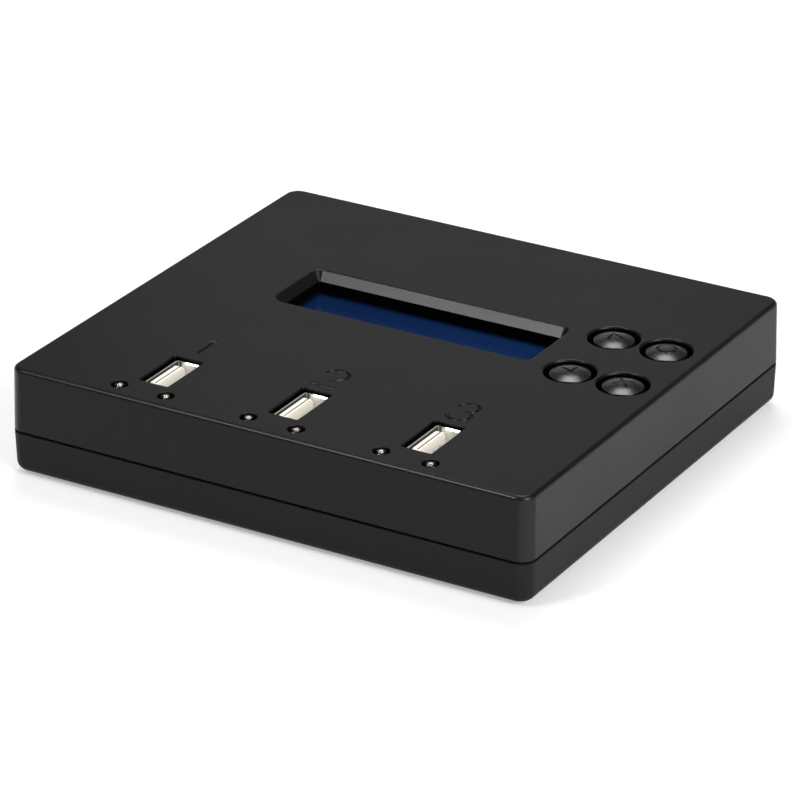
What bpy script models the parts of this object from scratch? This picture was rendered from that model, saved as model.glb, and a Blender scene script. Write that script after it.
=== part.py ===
# A standalone duplicator for usb flash drives. A black moulded case in two halves holds a
# sunken display window, three upright ports with two status lights each, and four round
# keys that press down on tall switches.
# Lengths are in metres. +X runs along the front edge to the right, +Y towards the back and
# +Z up. The origin is the centre of the footprint, at the height that the feet stand on.

import math

import bmesh
import bpy

# Clearances and overruns
SEAT_GAP = 0.0003
CUT_OVERRUN = 0.0005
JOIN_OVERLAP = 0.0004
MERGE_DISTANCE = 0.000001
SAME_HEIGHT = 0.0000001

# Display window in the top face
WINDOW_LEFT_MARGIN = 0.0280
WINDOW_LENGTH = 0.0614
WINDOW_WIDTH = 0.0187
WINDOW_BACK_OFFSET = 0.0099
WINDOW_CORNER_RADIUS = 0.0022
WINDOW_INNER_RADIUS = 0.0004
WINDOW_BEVEL_WIDTH = 0.0016
WINDOW_BEVEL_DEPTH = 0.0020
COLLAR_WALL = 0.0014
COLLAR_DEPTH = 0.0044

# Keys and their wells
KEY_CAP_RADIUS = 0.0043
KEY_WELL_CLEARANCE = 0.0012
KEY_WEB = 0.0010
KEY_WINDOW_WEB = 0.0040
KEY_SIDE_WEB = 0.0036
KEY_ROW_PITCH = 0.0190
KEY_WELL_DEPTH = 0.0026
KEY_LEDGE = 0.0012
KEY_CUP_WALL = 0.0012
KEY_CROWN = 0.0009
KEY_SHOULDER_DROP = 0.0005
KEY_SHOULDER_ROUND = 0.0002
KEY_SKIRT_FLARE = 0.0001
KEY_SKIN = 0.0011
KEY_FLANGE_WIDTH = 0.0006
KEY_FLANGE_HEIGHT = 0.0010
KEY_TRAVEL = 0.0005
KEY_SOCKET_DEPTH = 0.0022
KEY_SOCKET_WALL = 0.0007

# Tall push switches under the keys
SWITCH_SIDE = 0.0060
SWITCH_HEIGHT = 0.0035
STEM_RADIUS = 0.0017
STEM_REACH = 0.0015
STEM_CHAMFER = 0.0003

# Case
CASE_DEPTH = 0.1107
CASE_HEIGHT = 0.0230
SEAM_HEIGHT = 0.0090
SEAM_GAP = 0.0004
WALL = 0.0020
TOP_PLATE = 0.0020
FLOOR = 0.0020
CORNER_RADIUS = 0.0033
TOP_EDGE_RADIUS = 0.0010
BOTTOM_EDGE_RADIUS = 0.0020
LIP_WIDTH = 0.0009
LIP_HEIGHT = 0.0012
TOP_DRAFT = math.radians(1.0)
BOTTOM_DRAFT = math.radians(1.5)
RIB_WIDTH = 0.0012
RIB_HEIGHT = 0.0020
RIB_MARGIN = 0.0050
RIB_PLACE_SHARE = 0.33

# Case screws and their bosses
BOSS_INSET = 0.0070
BOSS_MEET_HEIGHT = 0.0070
LOWER_BOSS_WALL = 0.0012
UPPER_BOSS_WALL = 0.0015
CASE_SCREW_RADIUS = 0.0015
CASE_SCREW_LENGTH = 0.0120
CASE_SCREW_HEAD_RADIUS = 0.0027
CASE_SCREW_HEAD_HEIGHT = 0.0018
CASE_SCREW_RECESS = 0.0005
TIP_CHAMFER_SHARE = 0.33

# Rubber feet
FOOT_INSET = 0.0160
FOOT_RADIUS = 0.0045
FOOT_DROP = 0.0007
FOOT_RECESS = 0.0008
FOOT_ROUND = 0.0003

# Main circuit board and its screws
BOARD_MARGIN = 0.0012
BOARD_LIFT = 0.0033
BOARD_THICKNESS = 0.0016
BOARD_SCREW_INSET = 0.0065
BOARD_SCREW_PITCH = 0.0600
BOARD_SCREW_RADIUS = 0.0012
BOARD_SCREW_HEAD_RADIUS = 0.0023
BOARD_SCREW_HEAD_HEIGHT = 0.0015
BOARD_SCREW_BITE = 0.0018
POST_WALL = 0.0014

# Upright ports
PORT_PITCH = 0.0303
PORT_FRONT_SETBACK = 0.0154
PORT_SHELL_WIDTH = 0.0057
PORT_SHELL_LENGTH = 0.0131
PORT_SHELL_SHEET = 0.00035
PORT_SHELL_CORNER = 0.0007
PORT_SIDE_GAP = 0.00065
PORT_CUTOUT_CORNER = 0.0004
PORT_RIM_RECESS = 0.00085
PORT_BASE_HEIGHT = 0.0055
TONGUE_THICKNESS = 0.0017
TONGUE_WIDTH = 0.0111
TONGUE_BACK_GAP = 0.00045
TONGUE_RECESS = 0.0002
TONGUE_CORNER = 0.0014
CONTACT_WIDTH = 0.0010
CONTACT_RAISE = 0.0002
CONTACT_TIP_SETBACK = 0.0016
CONTACT_INNER_OFFSET = 0.0010
CONTACT_OUTER_OFFSET = 0.0035

# Status lights
LIGHT_SPREAD = 0.0110
LIGHT_FRONT_SETBACK = 0.0048
LIGHT_RADIUS = 0.0015
LIGHT_HEIGHT = 0.0053
LIGHT_DROP = 0.0002
LIGHT_FLANGE_WIDTH = 0.0004
LIGHT_FLANGE_HEIGHT = 0.0010
LEAD_SIDE = 0.0005
LEAD_PITCH = 0.00254

# Display module
FRAME_BORDER = 0.0034
FRAME_SHEET = 0.0005
FRAME_WINDOW_MARGIN = 0.0009
GLASS_STEP = 0.0002
GLASS_THICKNESS = 0.0020
DISPLAY_BOARD_SIDE_BORDER = 0.0020
DISPLAY_BOARD_END_BORDER = 0.0050
DISPLAY_BOARD_THICKNESS = 0.0016
DISPLAY_BOARD_LIFT = 0.0030
DISPLAY_SCREW_INSET = 0.0026
DISPLAY_SCREW_RADIUS = 0.0010
DISPLAY_SCREW_HEAD_RADIUS = 0.0018
DISPLAY_SCREW_HEAD_HEIGHT = 0.0013
DISPLAY_SCREW_BITE = 0.0040
DISPLAY_POST_WALL = 0.0007
HEADER_LENGTH = 0.0400
HEADER_WIDTH = 0.0025
HEADER_INSET = 0.0025

# Power inlet at the rear
INLET_LEFT_MARGIN = 0.0200
INLET_WIDTH = 0.0090
INLET_LENGTH = 0.0135
INLET_HEIGHT = 0.0116
INLET_AXIS_HEIGHT = 0.0075
INLET_BARREL_RADIUS = 0.0038
INLET_FACE_RECESS = 0.0005
INLET_WALL_GAP = 0.0005
INLET_BORE_RADIUS = 0.0030
INLET_BORE_DEPTH = 0.0090
INLET_PIN_RADIUS = 0.0010
INLET_PIN_RECESS = 0.0010

# Components on the main board
CONTROLLER_SIDE = 0.0140
CONTROLLER_HEIGHT = 0.0014
MEMORY_WIDTH = 0.0080
MEMORY_LENGTH = 0.0120
MEMORY_HEIGHT = 0.0012
CHIP_CHAMFER = 0.0003
CRYSTAL_LENGTH = 0.0110
CRYSTAL_WIDTH = 0.0045
CRYSTAL_HEIGHT = 0.0024
CRYSTAL_ROUND = 0.0015
INDUCTOR_SIDE = 0.0070
INDUCTOR_HEIGHT = 0.0040
INDUCTOR_ROUND = 0.0015
CAPACITOR_RADIUS = 0.0032
CAPACITOR_HEIGHT = 0.0077
CAPACITOR_GROOVE_DEPTH = 0.0003
CAPACITOR_GROOVE_HEIGHT = 0.0011
BUZZER_RADIUS = 0.0048
BUZZER_HEIGHT = 0.0055
BUZZER_PORT_RADIUS = 0.0010
BUZZER_PORT_DEPTH = 0.0015
REAR_COMPONENT_INSET = 0.0090

# Places of components, as shares of the main board's half width and half depth
CONTROLLER_SHARES = (0.0, -0.36)
MEMORY_SHARES = (-0.42, -0.36)
CRYSTAL_SHARES = (0.34, -0.36)
CAPACITOR_SHARE = -0.45
INDUCTOR_SHARE = -0.20
BUZZER_SHARE = 0.40

# Facets of round forms
CORNER_SEGMENTS = 6
EDGE_SEGMENTS = 3
ROUND_STEPS = 20
SMALL_STEPS = 12
WELL_STEPS = 32

# Values worked out from the sizes above
well_radius = KEY_CAP_RADIUS + KEY_WELL_CLEARANCE
key_column_pitch = 2 * well_radius + KEY_WEB
case_width = (WINDOW_LEFT_MARGIN + WINDOW_LENGTH + KEY_WINDOW_WEB + 2 * well_radius
              + key_column_pitch + KEY_SIDE_WEB)
half_width = case_width / 2
half_depth = CASE_DEPTH / 2
underside_z = FOOT_DROP
floor_z = underside_z + FLOOR
seam_z = underside_z + SEAM_HEIGHT
rim_z = seam_z - SEAM_GAP / 2
skirt_z = seam_z + SEAM_GAP / 2
top_z = underside_z + CASE_HEIGHT
plate_z = top_z - TOP_PLATE
lip_setback = WALL - LIP_WIDTH
lip_z = rim_z + LIP_HEIGHT
inner_corner_radius = max(CORNER_RADIUS - WALL, SEAT_GAP)

window_x = WINDOW_LEFT_MARGIN + WINDOW_LENGTH / 2 - half_width
window_y = WINDOW_BACK_OFFSET
window_inner_half_x = WINDOW_LENGTH / 2 - WINDOW_BEVEL_WIDTH
window_inner_half_y = WINDOW_WIDTH / 2 - WINDOW_BEVEL_WIDTH
collar_z = top_z - COLLAR_DEPTH

board_z = floor_z + BOARD_LIFT
board_top_z = board_z + BOARD_THICKNESS
board_half_x = half_width - WALL - BOARD_MARGIN
board_half_y = half_depth - WALL - BOARD_MARGIN
component_z = board_top_z + SEAT_GAP

first_key_x = window_x + WINDOW_LENGTH / 2 + KEY_WINDOW_WEB + well_radius
shoulder_z = top_z - KEY_SHOULDER_DROP
ledge_z = top_z - KEY_WELL_DEPTH - KEY_LEDGE
key_skirt_radius = KEY_CAP_RADIUS + KEY_SKIRT_FLARE
key_hole_radius = key_skirt_radius + SEAT_GAP
key_flange_radius = key_hole_radius + KEY_FLANGE_WIDTH
key_flange_top_z = ledge_z - SEAT_GAP
key_flange_low_z = key_flange_top_z - KEY_FLANGE_HEIGHT
key_socket_radius = STEM_RADIUS + SEAT_GAP
key_hub_radius = key_socket_radius + KEY_SOCKET_WALL
key_socket_z = key_flange_low_z + KEY_SOCKET_DEPTH
stem_top_z = key_socket_z - SEAT_GAP
switch_top_z = component_z + SWITCH_HEIGHT
stem_low_z = switch_top_z - STEM_REACH
switch_recess_z = stem_low_z - KEY_TRAVEL - SEAT_GAP

boss_meet_z = underside_z + BOSS_MEET_HEIGHT
boss_hole_radius = CASE_SCREW_RADIUS + SEAT_GAP
counterbore_radius = CASE_SCREW_HEAD_RADIUS + SEAT_GAP
lower_boss_radius = counterbore_radius + LOWER_BOSS_WALL
upper_boss_radius = boss_hole_radius + UPPER_BOSS_WALL
screw_head_low_z = underside_z + CASE_SCREW_RECESS
screw_head_top_z = screw_head_low_z + CASE_SCREW_HEAD_HEIGHT
counterbore_z = screw_head_top_z + SEAT_GAP
screw_tip_z = screw_head_top_z + CASE_SCREW_LENGTH

foot_recess_z = underside_z + FOOT_RECESS

board_screw_hole_radius = BOARD_SCREW_RADIUS + SEAT_GAP
board_post_radius = board_screw_hole_radius + POST_WALL

display_board_z = board_top_z + DISPLAY_BOARD_LIFT
display_board_top_z = display_board_z + DISPLAY_BOARD_THICKNESS
frame_half_x = window_inner_half_x + FRAME_BORDER
frame_half_y = window_inner_half_y + FRAME_BORDER
frame_top_z = collar_z - SEAT_GAP
frame_low_z = display_board_top_z + SEAT_GAP
frame_sheet_z = frame_top_z - FRAME_SHEET
frame_window_half_x = window_inner_half_x + FRAME_WINDOW_MARGIN
frame_window_half_y = window_inner_half_y + FRAME_WINDOW_MARGIN
glass_top_z = frame_top_z - GLASS_STEP
glass_slab_z = frame_sheet_z - SEAT_GAP
glass_low_z = glass_slab_z - GLASS_THICKNESS
display_board_half_x = frame_half_x + DISPLAY_BOARD_SIDE_BORDER
display_board_half_y = frame_half_y + DISPLAY_BOARD_END_BORDER
display_post_x = display_board_half_x - DISPLAY_SCREW_INSET
display_post_y = display_board_half_y - DISPLAY_SCREW_INSET
display_hole_radius = DISPLAY_SCREW_RADIUS + SEAT_GAP
display_post_radius = display_hole_radius + DISPLAY_POST_WALL

port_y = PORT_FRONT_SETBACK - half_depth
port_rim_z = top_z - PORT_RIM_RECESS
tongue_top_z = port_rim_z - TONGUE_RECESS
port_base_z = component_z + PORT_BASE_HEIGHT
port_inner_half_x = PORT_SHELL_WIDTH / 2 - PORT_SHELL_SHEET
port_inner_half_y = PORT_SHELL_LENGTH / 2 - PORT_SHELL_SHEET
tongue_back_x = TONGUE_BACK_GAP - port_inner_half_x

light_y = LIGHT_FRONT_SETBACK - half_depth
light_top_z = top_z - LIGHT_DROP
light_low_z = light_top_z - LIGHT_HEIGHT

inlet_x = INLET_LEFT_MARGIN - half_width
inlet_z = component_z + INLET_AXIS_HEIGHT
inlet_face_y = half_depth - INLET_FACE_RECESS
inlet_back_y = half_depth - WALL - INLET_WALL_GAP
inlet_inner_y = inlet_back_y - INLET_LENGTH
inlet_hole_radius = INLET_BARREL_RADIUS + SEAT_GAP
inlet_pin_hole_radius = INLET_PIN_RADIUS + SEAT_GAP

SIDES = (-1, 1)
CORNERS = ((-1, -1), (1, -1), (1, 1), (-1, 1))


def clear_scene():
    for old in list(bpy.data.objects):
        bpy.data.objects.remove(old, do_unlink=True)


def new_collection(name):
    collection = bpy.data.collections.new(name)
    bpy.context.scene.collection.children.link(collection)
    return collection


clear_scene()
parts = new_collection("usb_flash_drive_duplicator")
cutters = new_collection("cutters")


# Materials

def new_material(name, color, roughness, metallic=0.0, alpha=1.0):
    material = bpy.data.materials.new(name)
    material.use_nodes = True
    shader = material.node_tree.nodes["Principled BSDF"]
    shader.inputs["Base Color"].default_value = (*color, 1.0)
    shader.inputs["Roughness"].default_value = roughness
    shader.inputs["Metallic"].default_value = metallic
    shader.inputs["Alpha"].default_value = alpha
    material.diffuse_color = (*color, alpha)
    return material


top_plastic = new_material("top_shell_plastic", (0.030, 0.030, 0.032), 0.42)
bottom_plastic = new_material("bottom_shell_plastic", (0.028, 0.028, 0.030), 0.45)
key_plastic = new_material("key_plastic", (0.026, 0.026, 0.028), 0.30)
port_steel = new_material("port_steel", (0.72, 0.71, 0.69), 0.25, 1.0)
port_plastic = new_material("port_plastic", (0.80, 0.77, 0.68), 0.45)
clear_resin = new_material("clear_resin", (0.62, 0.66, 0.66), 0.08, 0.0, 0.6)
display_blue = new_material("display_blue", (0.012, 0.035, 0.110), 0.12)
display_steel = new_material("display_steel", (0.10, 0.10, 0.11), 0.40, 1.0)
guide_acrylic = new_material("guide_acrylic", (0.78, 0.80, 0.80), 0.30)
board_green = new_material("board_green", (0.02, 0.12, 0.05), 0.50)
header_plastic = new_material("header_plastic", (0.02, 0.02, 0.02), 0.55)
screw_steel = new_material("screw_steel", (0.30, 0.30, 0.31), 0.32, 1.0)
foot_rubber = new_material("foot_rubber", (0.015, 0.015, 0.015), 0.80)
switch_plastic = new_material("switch_plastic", (0.03, 0.03, 0.03), 0.50)
stem_plastic = new_material("stem_plastic", (0.65, 0.62, 0.55), 0.45)
inlet_plastic = new_material("inlet_plastic", (0.018, 0.018, 0.018), 0.50)
inlet_brass = new_material("inlet_brass", (0.72, 0.66, 0.50), 0.25, 1.0)
chip_epoxy = new_material("chip_epoxy", (0.02, 0.02, 0.022), 0.60)
can_metal = new_material("can_metal", (0.68, 0.68, 0.68), 0.30, 1.0)
ferrite = new_material("ferrite", (0.06, 0.06, 0.06), 0.70)


# Building blocks

def finish(name, bm, material, place=(0, 0, 0), parent=None):
    mesh = bpy.data.meshes.new(name)
    bmesh.ops.recalc_face_normals(bm, faces=bm.faces)
    bm.to_mesh(mesh)
    bm.free()
    mesh.materials.append(material)
    mesh.shade_smooth()
    mesh.set_sharp_from_angle(angle=math.radians(35))
    piece = bpy.data.objects.new(name, mesh)
    piece.location = place
    piece.parent = parent
    parts.objects.link(piece)
    return piece


def tool(name, bm, place=(0, 0, 0)):
    mesh = bpy.data.meshes.new(name)
    bmesh.ops.recalc_face_normals(bm, faces=bm.faces)
    bm.to_mesh(mesh)
    bm.free()
    piece = bpy.data.objects.new(name, mesh)
    piece.location = place
    piece.hide_render = True
    piece.display_type = "WIRE"
    cutters.objects.link(piece)
    return piece


def combine(piece, other, operation):
    step = piece.modifiers.new(other.name, "BOOLEAN")
    step.operation = operation
    step.solver = "EXACT"
    step.object = other


def cut(piece, other):
    combine(piece, other, "DIFFERENCE")


def join(piece, other):
    combine(piece, other, "UNION")


# A section of a block is its half length, its half width and its corner radius.
def corner_place(corner, direction, section):
    half_x, half_y, radius = section
    return (corner[0] * (half_x - radius) + direction[0] * radius,
            corner[1] * (half_y - radius) + direction[1] * radius)


# An upright block whose rounded outline changes from its lower to its upper section
def block(low, high, low_z, high_z, low_round=0.0, high_round=0.0):
    half_x, half_y, radius = low
    bm = bmesh.new()
    bmesh.ops.create_cube(bm, size=1.0)
    for vert in bm.verts:
        vert.co.x *= 2 * half_x
        vert.co.y *= 2 * half_y
        vert.co.z = high_z if vert.co.z > 0 else low_z
    if radius > 0:
        upright = [edge for edge in bm.edges if edge.verts[0].co.z != edge.verts[1].co.z]
        bmesh.ops.bevel(bm, geom=upright, offset=radius, segments=CORNER_SEGMENTS,
                        profile=0.5, affect="EDGES")
    for vert in bm.verts:
        if vert.co.z > (low_z + high_z) / 2:
            corner = (math.copysign(1, vert.co.x), math.copysign(1, vert.co.y))
            direction = corner
            if radius > 0:
                direction = ((vert.co.x - corner[0] * (half_x - radius)) / radius,
                             (vert.co.y - corner[1] * (half_y - radius)) / radius)
            vert.co.x, vert.co.y = corner_place(corner, direction, high)
    round_rim(bm, low_z, low_round)
    round_rim(bm, high_z, high_round)
    return bm


def round_rim(bm, height, radius):
    if radius > 0:
        rim = [edge for edge in bm.edges
               if all(math.isclose(vert.co.z, height, abs_tol=SAME_HEIGHT) for vert in edge.verts)]
        bmesh.ops.bevel(bm, geom=rim, offset=radius, segments=EDGE_SEGMENTS,
                        profile=0.5, affect="EDGES")


def straight_block(half_x, half_y, low_z, high_z, radius=0.0, high_round=0.0):
    section = (half_x, half_y, radius)
    return block(section, section, low_z, high_z, high_round=high_round)


def cylinder(radius, low_z, high_z, steps=ROUND_STEPS):
    bm = bmesh.new()
    bmesh.ops.create_cone(bm, cap_ends=True, segments=steps, radius1=radius,
                          radius2=radius, depth=high_z - low_z)
    bmesh.ops.translate(bm, verts=bm.verts, vec=(0, 0, (low_z + high_z) / 2))
    return bm


# A profile of radius and height pairs, from the top on the axis down the outer side and
# back to the axis, turned about Z
def turned(name, profile, material, steps, place=(0, 0, 0), parent=None):
    mesh = bpy.data.meshes.new(name)
    corners = [(radius, 0, height) for radius, height in profile]
    mesh.from_pydata(corners, [(i, i + 1) for i in range(len(corners) - 1)], [])
    mesh.materials.append(material)
    piece = bpy.data.objects.new(name, mesh)
    piece.location = place
    piece.parent = parent
    parts.objects.link(piece)
    spin = piece.modifiers.new("turn", "SCREW")
    spin.axis = "Z"
    spin.steps = steps
    spin.render_steps = steps
    spin.use_merge_vertices = True
    spin.merge_threshold = MERGE_DISTANCE
    spin.use_smooth_shade = True
    return piece


def arc_points(centre, radius, start, end, count):
    return [(centre[0] + radius * math.cos(start + (end - start) * i / count),
             centre[1] + radius * math.sin(start + (end - start) * i / count))
            for i in range(count + 1)]


# Sections of the case at a height, drawn in from the outside by an inset

def top_section(height, inset=0.0, radius=CORNER_RADIUS):
    lean = (height - skirt_z) * math.tan(TOP_DRAFT) + inset
    return half_width - lean, half_depth - lean, radius


def bottom_section(height, inset=0.0, radius=CORNER_RADIUS):
    lean = (rim_z - height) * math.tan(BOTTOM_DRAFT) + inset
    return half_width - lean, half_depth - lean, radius


# Places shared by both halves of the case and what they hold

def boss_places():
    return [(sx * (half_width - BOSS_INSET), sy * (half_depth - BOSS_INSET))
            for sx, sy in CORNERS]


def foot_places():
    return [(sx * (half_width - FOOT_INSET), sy * (half_depth - FOOT_INSET))
            for sx, sy in CORNERS]


def board_screw_places():
    return [(sx * (board_half_x - BOARD_SCREW_INSET), sy * BOARD_SCREW_PITCH / 2)
            for sx, sy in CORNERS]


def display_screw_places():
    return [(window_x + sx * display_post_x, window_y + sy * display_post_y)
            for sx, sy in CORNERS]


def port_places():
    return [(step * PORT_PITCH, port_y) for step in (-1, 0, 1)]


def light_places():
    return [(x + side * LIGHT_SPREAD / 2, light_y) for x, _ in port_places()
            for side in SIDES]


def key_places():
    columns = (first_key_x, first_key_x + key_column_pitch)
    rows = (window_y + KEY_ROW_PITCH / 2, window_y - KEY_ROW_PITCH / 2)
    return {"up": (columns[0], rows[0]), "confirm": (columns[1], rows[0]),
            "down": (columns[0], rows[1]), "cancel": (columns[1], rows[1])}


# Top half of the case

def window_cutter():
    slope = WINDOW_BEVEL_WIDTH / WINDOW_BEVEL_DEPTH
    radius_slope = (WINDOW_CORNER_RADIUS - WINDOW_INNER_RADIUS) / WINDOW_BEVEL_DEPTH

    def section(above_top):
        return (WINDOW_LENGTH / 2 + above_top * slope, WINDOW_WIDTH / 2 + above_top * slope,
                WINDOW_CORNER_RADIUS + above_top * radius_slope)

    below = WINDOW_INNER_RADIUS / 2 / radius_slope
    low = -WINDOW_BEVEL_DEPTH - below
    return block(section(low), section(CUT_OVERRUN), top_z + low, top_z + CUT_OVERRUN)


def add_top_shell_walls():
    shell = finish("top_shell", block(top_section(skirt_z), top_section(top_z), skirt_z,
                                      top_z, high_round=TOP_EDGE_RADIUS), top_plastic)
    low_z = skirt_z - CUT_OVERRUN
    cavity = block(top_section(low_z, WALL, inner_corner_radius),
                   top_section(plate_z, WALL, inner_corner_radius), low_z, plate_z)
    cut(shell, tool("top_cavity", cavity))
    rebate_inset = lip_setback - SEAT_GAP
    rebate_radius = CORNER_RADIUS - rebate_inset
    rebate_z = lip_z + SEAT_GAP
    rebate = block(top_section(low_z, rebate_inset, rebate_radius),
                   top_section(rebate_z, rebate_inset, rebate_radius), low_z, rebate_z)
    cut(shell, tool("top_rebate", rebate))
    return shell


def add_top_shell_mouldings(shell):
    join_z = plate_z + JOIN_OVERLAP
    collar = straight_block(window_inner_half_x + COLLAR_WALL,
                            window_inner_half_y + COLLAR_WALL, collar_z, join_z,
                            WINDOW_INNER_RADIUS + COLLAR_WALL)
    join(shell, tool("window_collar", collar, (window_x, window_y, 0)))
    for name, (x, y) in key_places().items():
        cup = cylinder(well_radius + KEY_CUP_WALL, ledge_z, join_z, WELL_STEPS)
        join(shell, tool(name + "_cup", cup, (x, y, 0)))
    for number, (x, y) in enumerate(boss_places(), 1):
        boss = cylinder(upper_boss_radius, boss_meet_z + SEAT_GAP, join_z, SMALL_STEPS)
        join(shell, tool(f"upper_boss_{number}", boss, (x, y, 0)))
    for number, (x, y) in enumerate(display_screw_places(), 1):
        post = cylinder(display_post_radius, frame_low_z, join_z, SMALL_STEPS)
        join(shell, tool(f"display_post_{number}", post, (x, y, 0)))
    rib_front = window_y + display_board_half_y
    rib_back = half_depth - WALL - RIB_MARGIN
    rib_low_z = plate_z - RIB_HEIGHT
    for number, side in enumerate(SIDES, 1):
        rib = straight_block(RIB_WIDTH / 2, (rib_back - rib_front) / 2, rib_low_z, join_z)
        place = (side * half_width * RIB_PLACE_SHARE, (rib_back + rib_front) / 2, 0)
        join(shell, tool(f"plate_rib_{number}", rib, place))


def cut_top_shell_openings(shell):
    over_z = top_z + CUT_OVERRUN
    through = straight_block(window_inner_half_x, window_inner_half_y,
                             collar_z - CUT_OVERRUN, over_z, WINDOW_INNER_RADIUS)
    cut(shell, tool("window_through", through, (window_x, window_y, 0)))
    cut(shell, tool("window_bevel", window_cutter(), (window_x, window_y, 0)))
    for name, (x, y) in key_places().items():
        well = cylinder(well_radius, top_z - KEY_WELL_DEPTH, over_z, WELL_STEPS)
        cut(shell, tool(name + "_well", well, (x, y, 0)))
        hole = cylinder(key_hole_radius, ledge_z - CUT_OVERRUN, over_z, WELL_STEPS)
        cut(shell, tool(name + "_hole", hole, (x, y, 0)))
    for number, (x, y) in enumerate(port_places(), 1):
        opening = straight_block(PORT_SHELL_WIDTH / 2 + PORT_SIDE_GAP,
                                 PORT_SHELL_LENGTH / 2 + SEAT_GAP,
                                 plate_z - CUT_OVERRUN, over_z, PORT_CUTOUT_CORNER)
        cut(shell, tool(f"port_cutout_{number}", opening, (x, y, 0)))
    for number, (x, y) in enumerate(light_places(), 1):
        hole = cylinder(LIGHT_RADIUS + SEAT_GAP, plate_z - CUT_OVERRUN, over_z, SMALL_STEPS)
        cut(shell, tool(f"light_hole_{number}", hole, (x, y, 0)))
    for number, (x, y) in enumerate(boss_places(), 1):
        pilot = cylinder(boss_hole_radius, boss_meet_z - CUT_OVERRUN,
                         screw_tip_z + SEAT_GAP, SMALL_STEPS)
        cut(shell, tool(f"upper_boss_pilot_{number}", pilot, (x, y, 0)))
    for number, (x, y) in enumerate(display_screw_places(), 1):
        pilot = cylinder(display_hole_radius, frame_low_z - CUT_OVERRUN,
                         frame_low_z + DISPLAY_SCREW_BITE + SEAT_GAP, SMALL_STEPS)
        cut(shell, tool(f"display_pilot_{number}", pilot, (x, y, 0)))


def inlet_cutter():
    bm = cylinder(inlet_hole_radius, -WALL - CUT_OVERRUN, WALL + CUT_OVERRUN)
    cutter = tool("inlet_hole", bm, (inlet_x, half_depth, inlet_z))
    cutter.rotation_euler = (math.radians(90), 0, 0)
    return cutter


def add_top_shell(inlet_hole):
    shell = add_top_shell_walls()
    add_top_shell_mouldings(shell)
    cut_top_shell_openings(shell)
    cut(shell, inlet_hole)
    return shell


# Bottom half of the case

def add_bottom_shell(inlet_hole):
    shell = finish("bottom_shell", block(bottom_section(underside_z), bottom_section(rim_z),
                                         underside_z, rim_z,
                                         low_round=BOTTOM_EDGE_RADIUS), bottom_plastic)
    lip_section = (half_width - lip_setback, half_depth - lip_setback,
                   CORNER_RADIUS - lip_setback)
    lip = block(lip_section, lip_section, floor_z, lip_z)
    join(shell, tool("rim_lip", lip))
    high_z = lip_z + CUT_OVERRUN
    cavity = block(bottom_section(floor_z, WALL, inner_corner_radius),
                   bottom_section(high_z, WALL, inner_corner_radius), floor_z, high_z)
    cut(shell, tool("bottom_cavity", cavity))

    join_z = floor_z - JOIN_OVERLAP
    for number, (x, y) in enumerate(boss_places(), 1):
        boss = cylinder(lower_boss_radius, join_z, boss_meet_z, ROUND_STEPS)
        join(shell, tool(f"lower_boss_{number}", boss, (x, y, 0)))
    for number, (x, y) in enumerate(board_screw_places(), 1):
        post = cylinder(board_post_radius, join_z, board_z - SEAT_GAP, SMALL_STEPS)
        join(shell, tool(f"board_post_{number}", post, (x, y, 0)))
    for number, side in enumerate(SIDES, 1):
        rib = straight_block(half_width - BOSS_INSET - lower_boss_radius - RIB_MARGIN,
                             RIB_WIDTH / 2, join_z, floor_z + RIB_HEIGHT)
        join(shell, tool(f"floor_rib_{number}", rib, (0, side * half_depth * RIB_PLACE_SHARE, 0)))

    under_z = underside_z - CUT_OVERRUN
    for number, (x, y) in enumerate(boss_places(), 1):
        head_hole = cylinder(counterbore_radius, under_z, counterbore_z)
        cut(shell, tool(f"counterbore_{number}", head_hole, (x, y, 0)))
        through = cylinder(boss_hole_radius, under_z, boss_meet_z + CUT_OVERRUN, SMALL_STEPS)
        cut(shell, tool(f"lower_boss_hole_{number}", through, (x, y, 0)))
    for number, (x, y) in enumerate(foot_places(), 1):
        recess = cylinder(FOOT_RADIUS + SEAT_GAP, under_z, foot_recess_z)
        cut(shell, tool(f"foot_recess_{number}", recess, (x, y, 0)))
    for number, (x, y) in enumerate(board_screw_places(), 1):
        pilot = cylinder(board_screw_hole_radius,
                         board_z - SEAT_GAP - BOARD_SCREW_BITE - SEAT_GAP,
                         board_z + CUT_OVERRUN, SMALL_STEPS)
        cut(shell, tool(f"board_pilot_{number}", pilot, (x, y, 0)))
    cut(shell, inlet_hole)
    return shell


# Fasteners and feet

def add_screw(name, place, head_radius, head_height, shank_radius, length, head_down):
    chamfer = shank_radius * TIP_CHAMFER_SHARE
    profile = [(0, length), (shank_radius - chamfer, length),
               (shank_radius, length - chamfer), (shank_radius, 0), (head_radius, 0),
               (head_radius, -head_height), (0, -head_height)]
    piece = turned(name, profile, screw_steel, SMALL_STEPS, place)
    if not head_down:
        piece.rotation_euler = (math.pi, 0, 0)
    return piece


def add_case_screws():
    for number, (x, y) in enumerate(boss_places(), 1):
        add_screw(f"case_screw_{number}", (x, y, screw_head_top_z), CASE_SCREW_HEAD_RADIUS,
                  CASE_SCREW_HEAD_HEIGHT, CASE_SCREW_RADIUS, CASE_SCREW_LENGTH, True)


def add_board_screws():
    length = BOARD_THICKNESS + BOARD_SCREW_BITE + SEAT_GAP
    for number, (x, y) in enumerate(board_screw_places(), 1):
        add_screw(f"board_screw_{number}", (x, y, component_z), BOARD_SCREW_HEAD_RADIUS,
                  BOARD_SCREW_HEAD_HEIGHT, BOARD_SCREW_RADIUS, length, False)


def add_display_screws():
    head_top_z = display_board_z - SEAT_GAP
    length = frame_low_z + DISPLAY_SCREW_BITE - head_top_z
    for number, (x, y) in enumerate(display_screw_places(), 1):
        add_screw(f"display_screw_{number}", (x, y, head_top_z), DISPLAY_SCREW_HEAD_RADIUS,
                  DISPLAY_SCREW_HEAD_HEIGHT, DISPLAY_SCREW_RADIUS, length, True)


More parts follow.
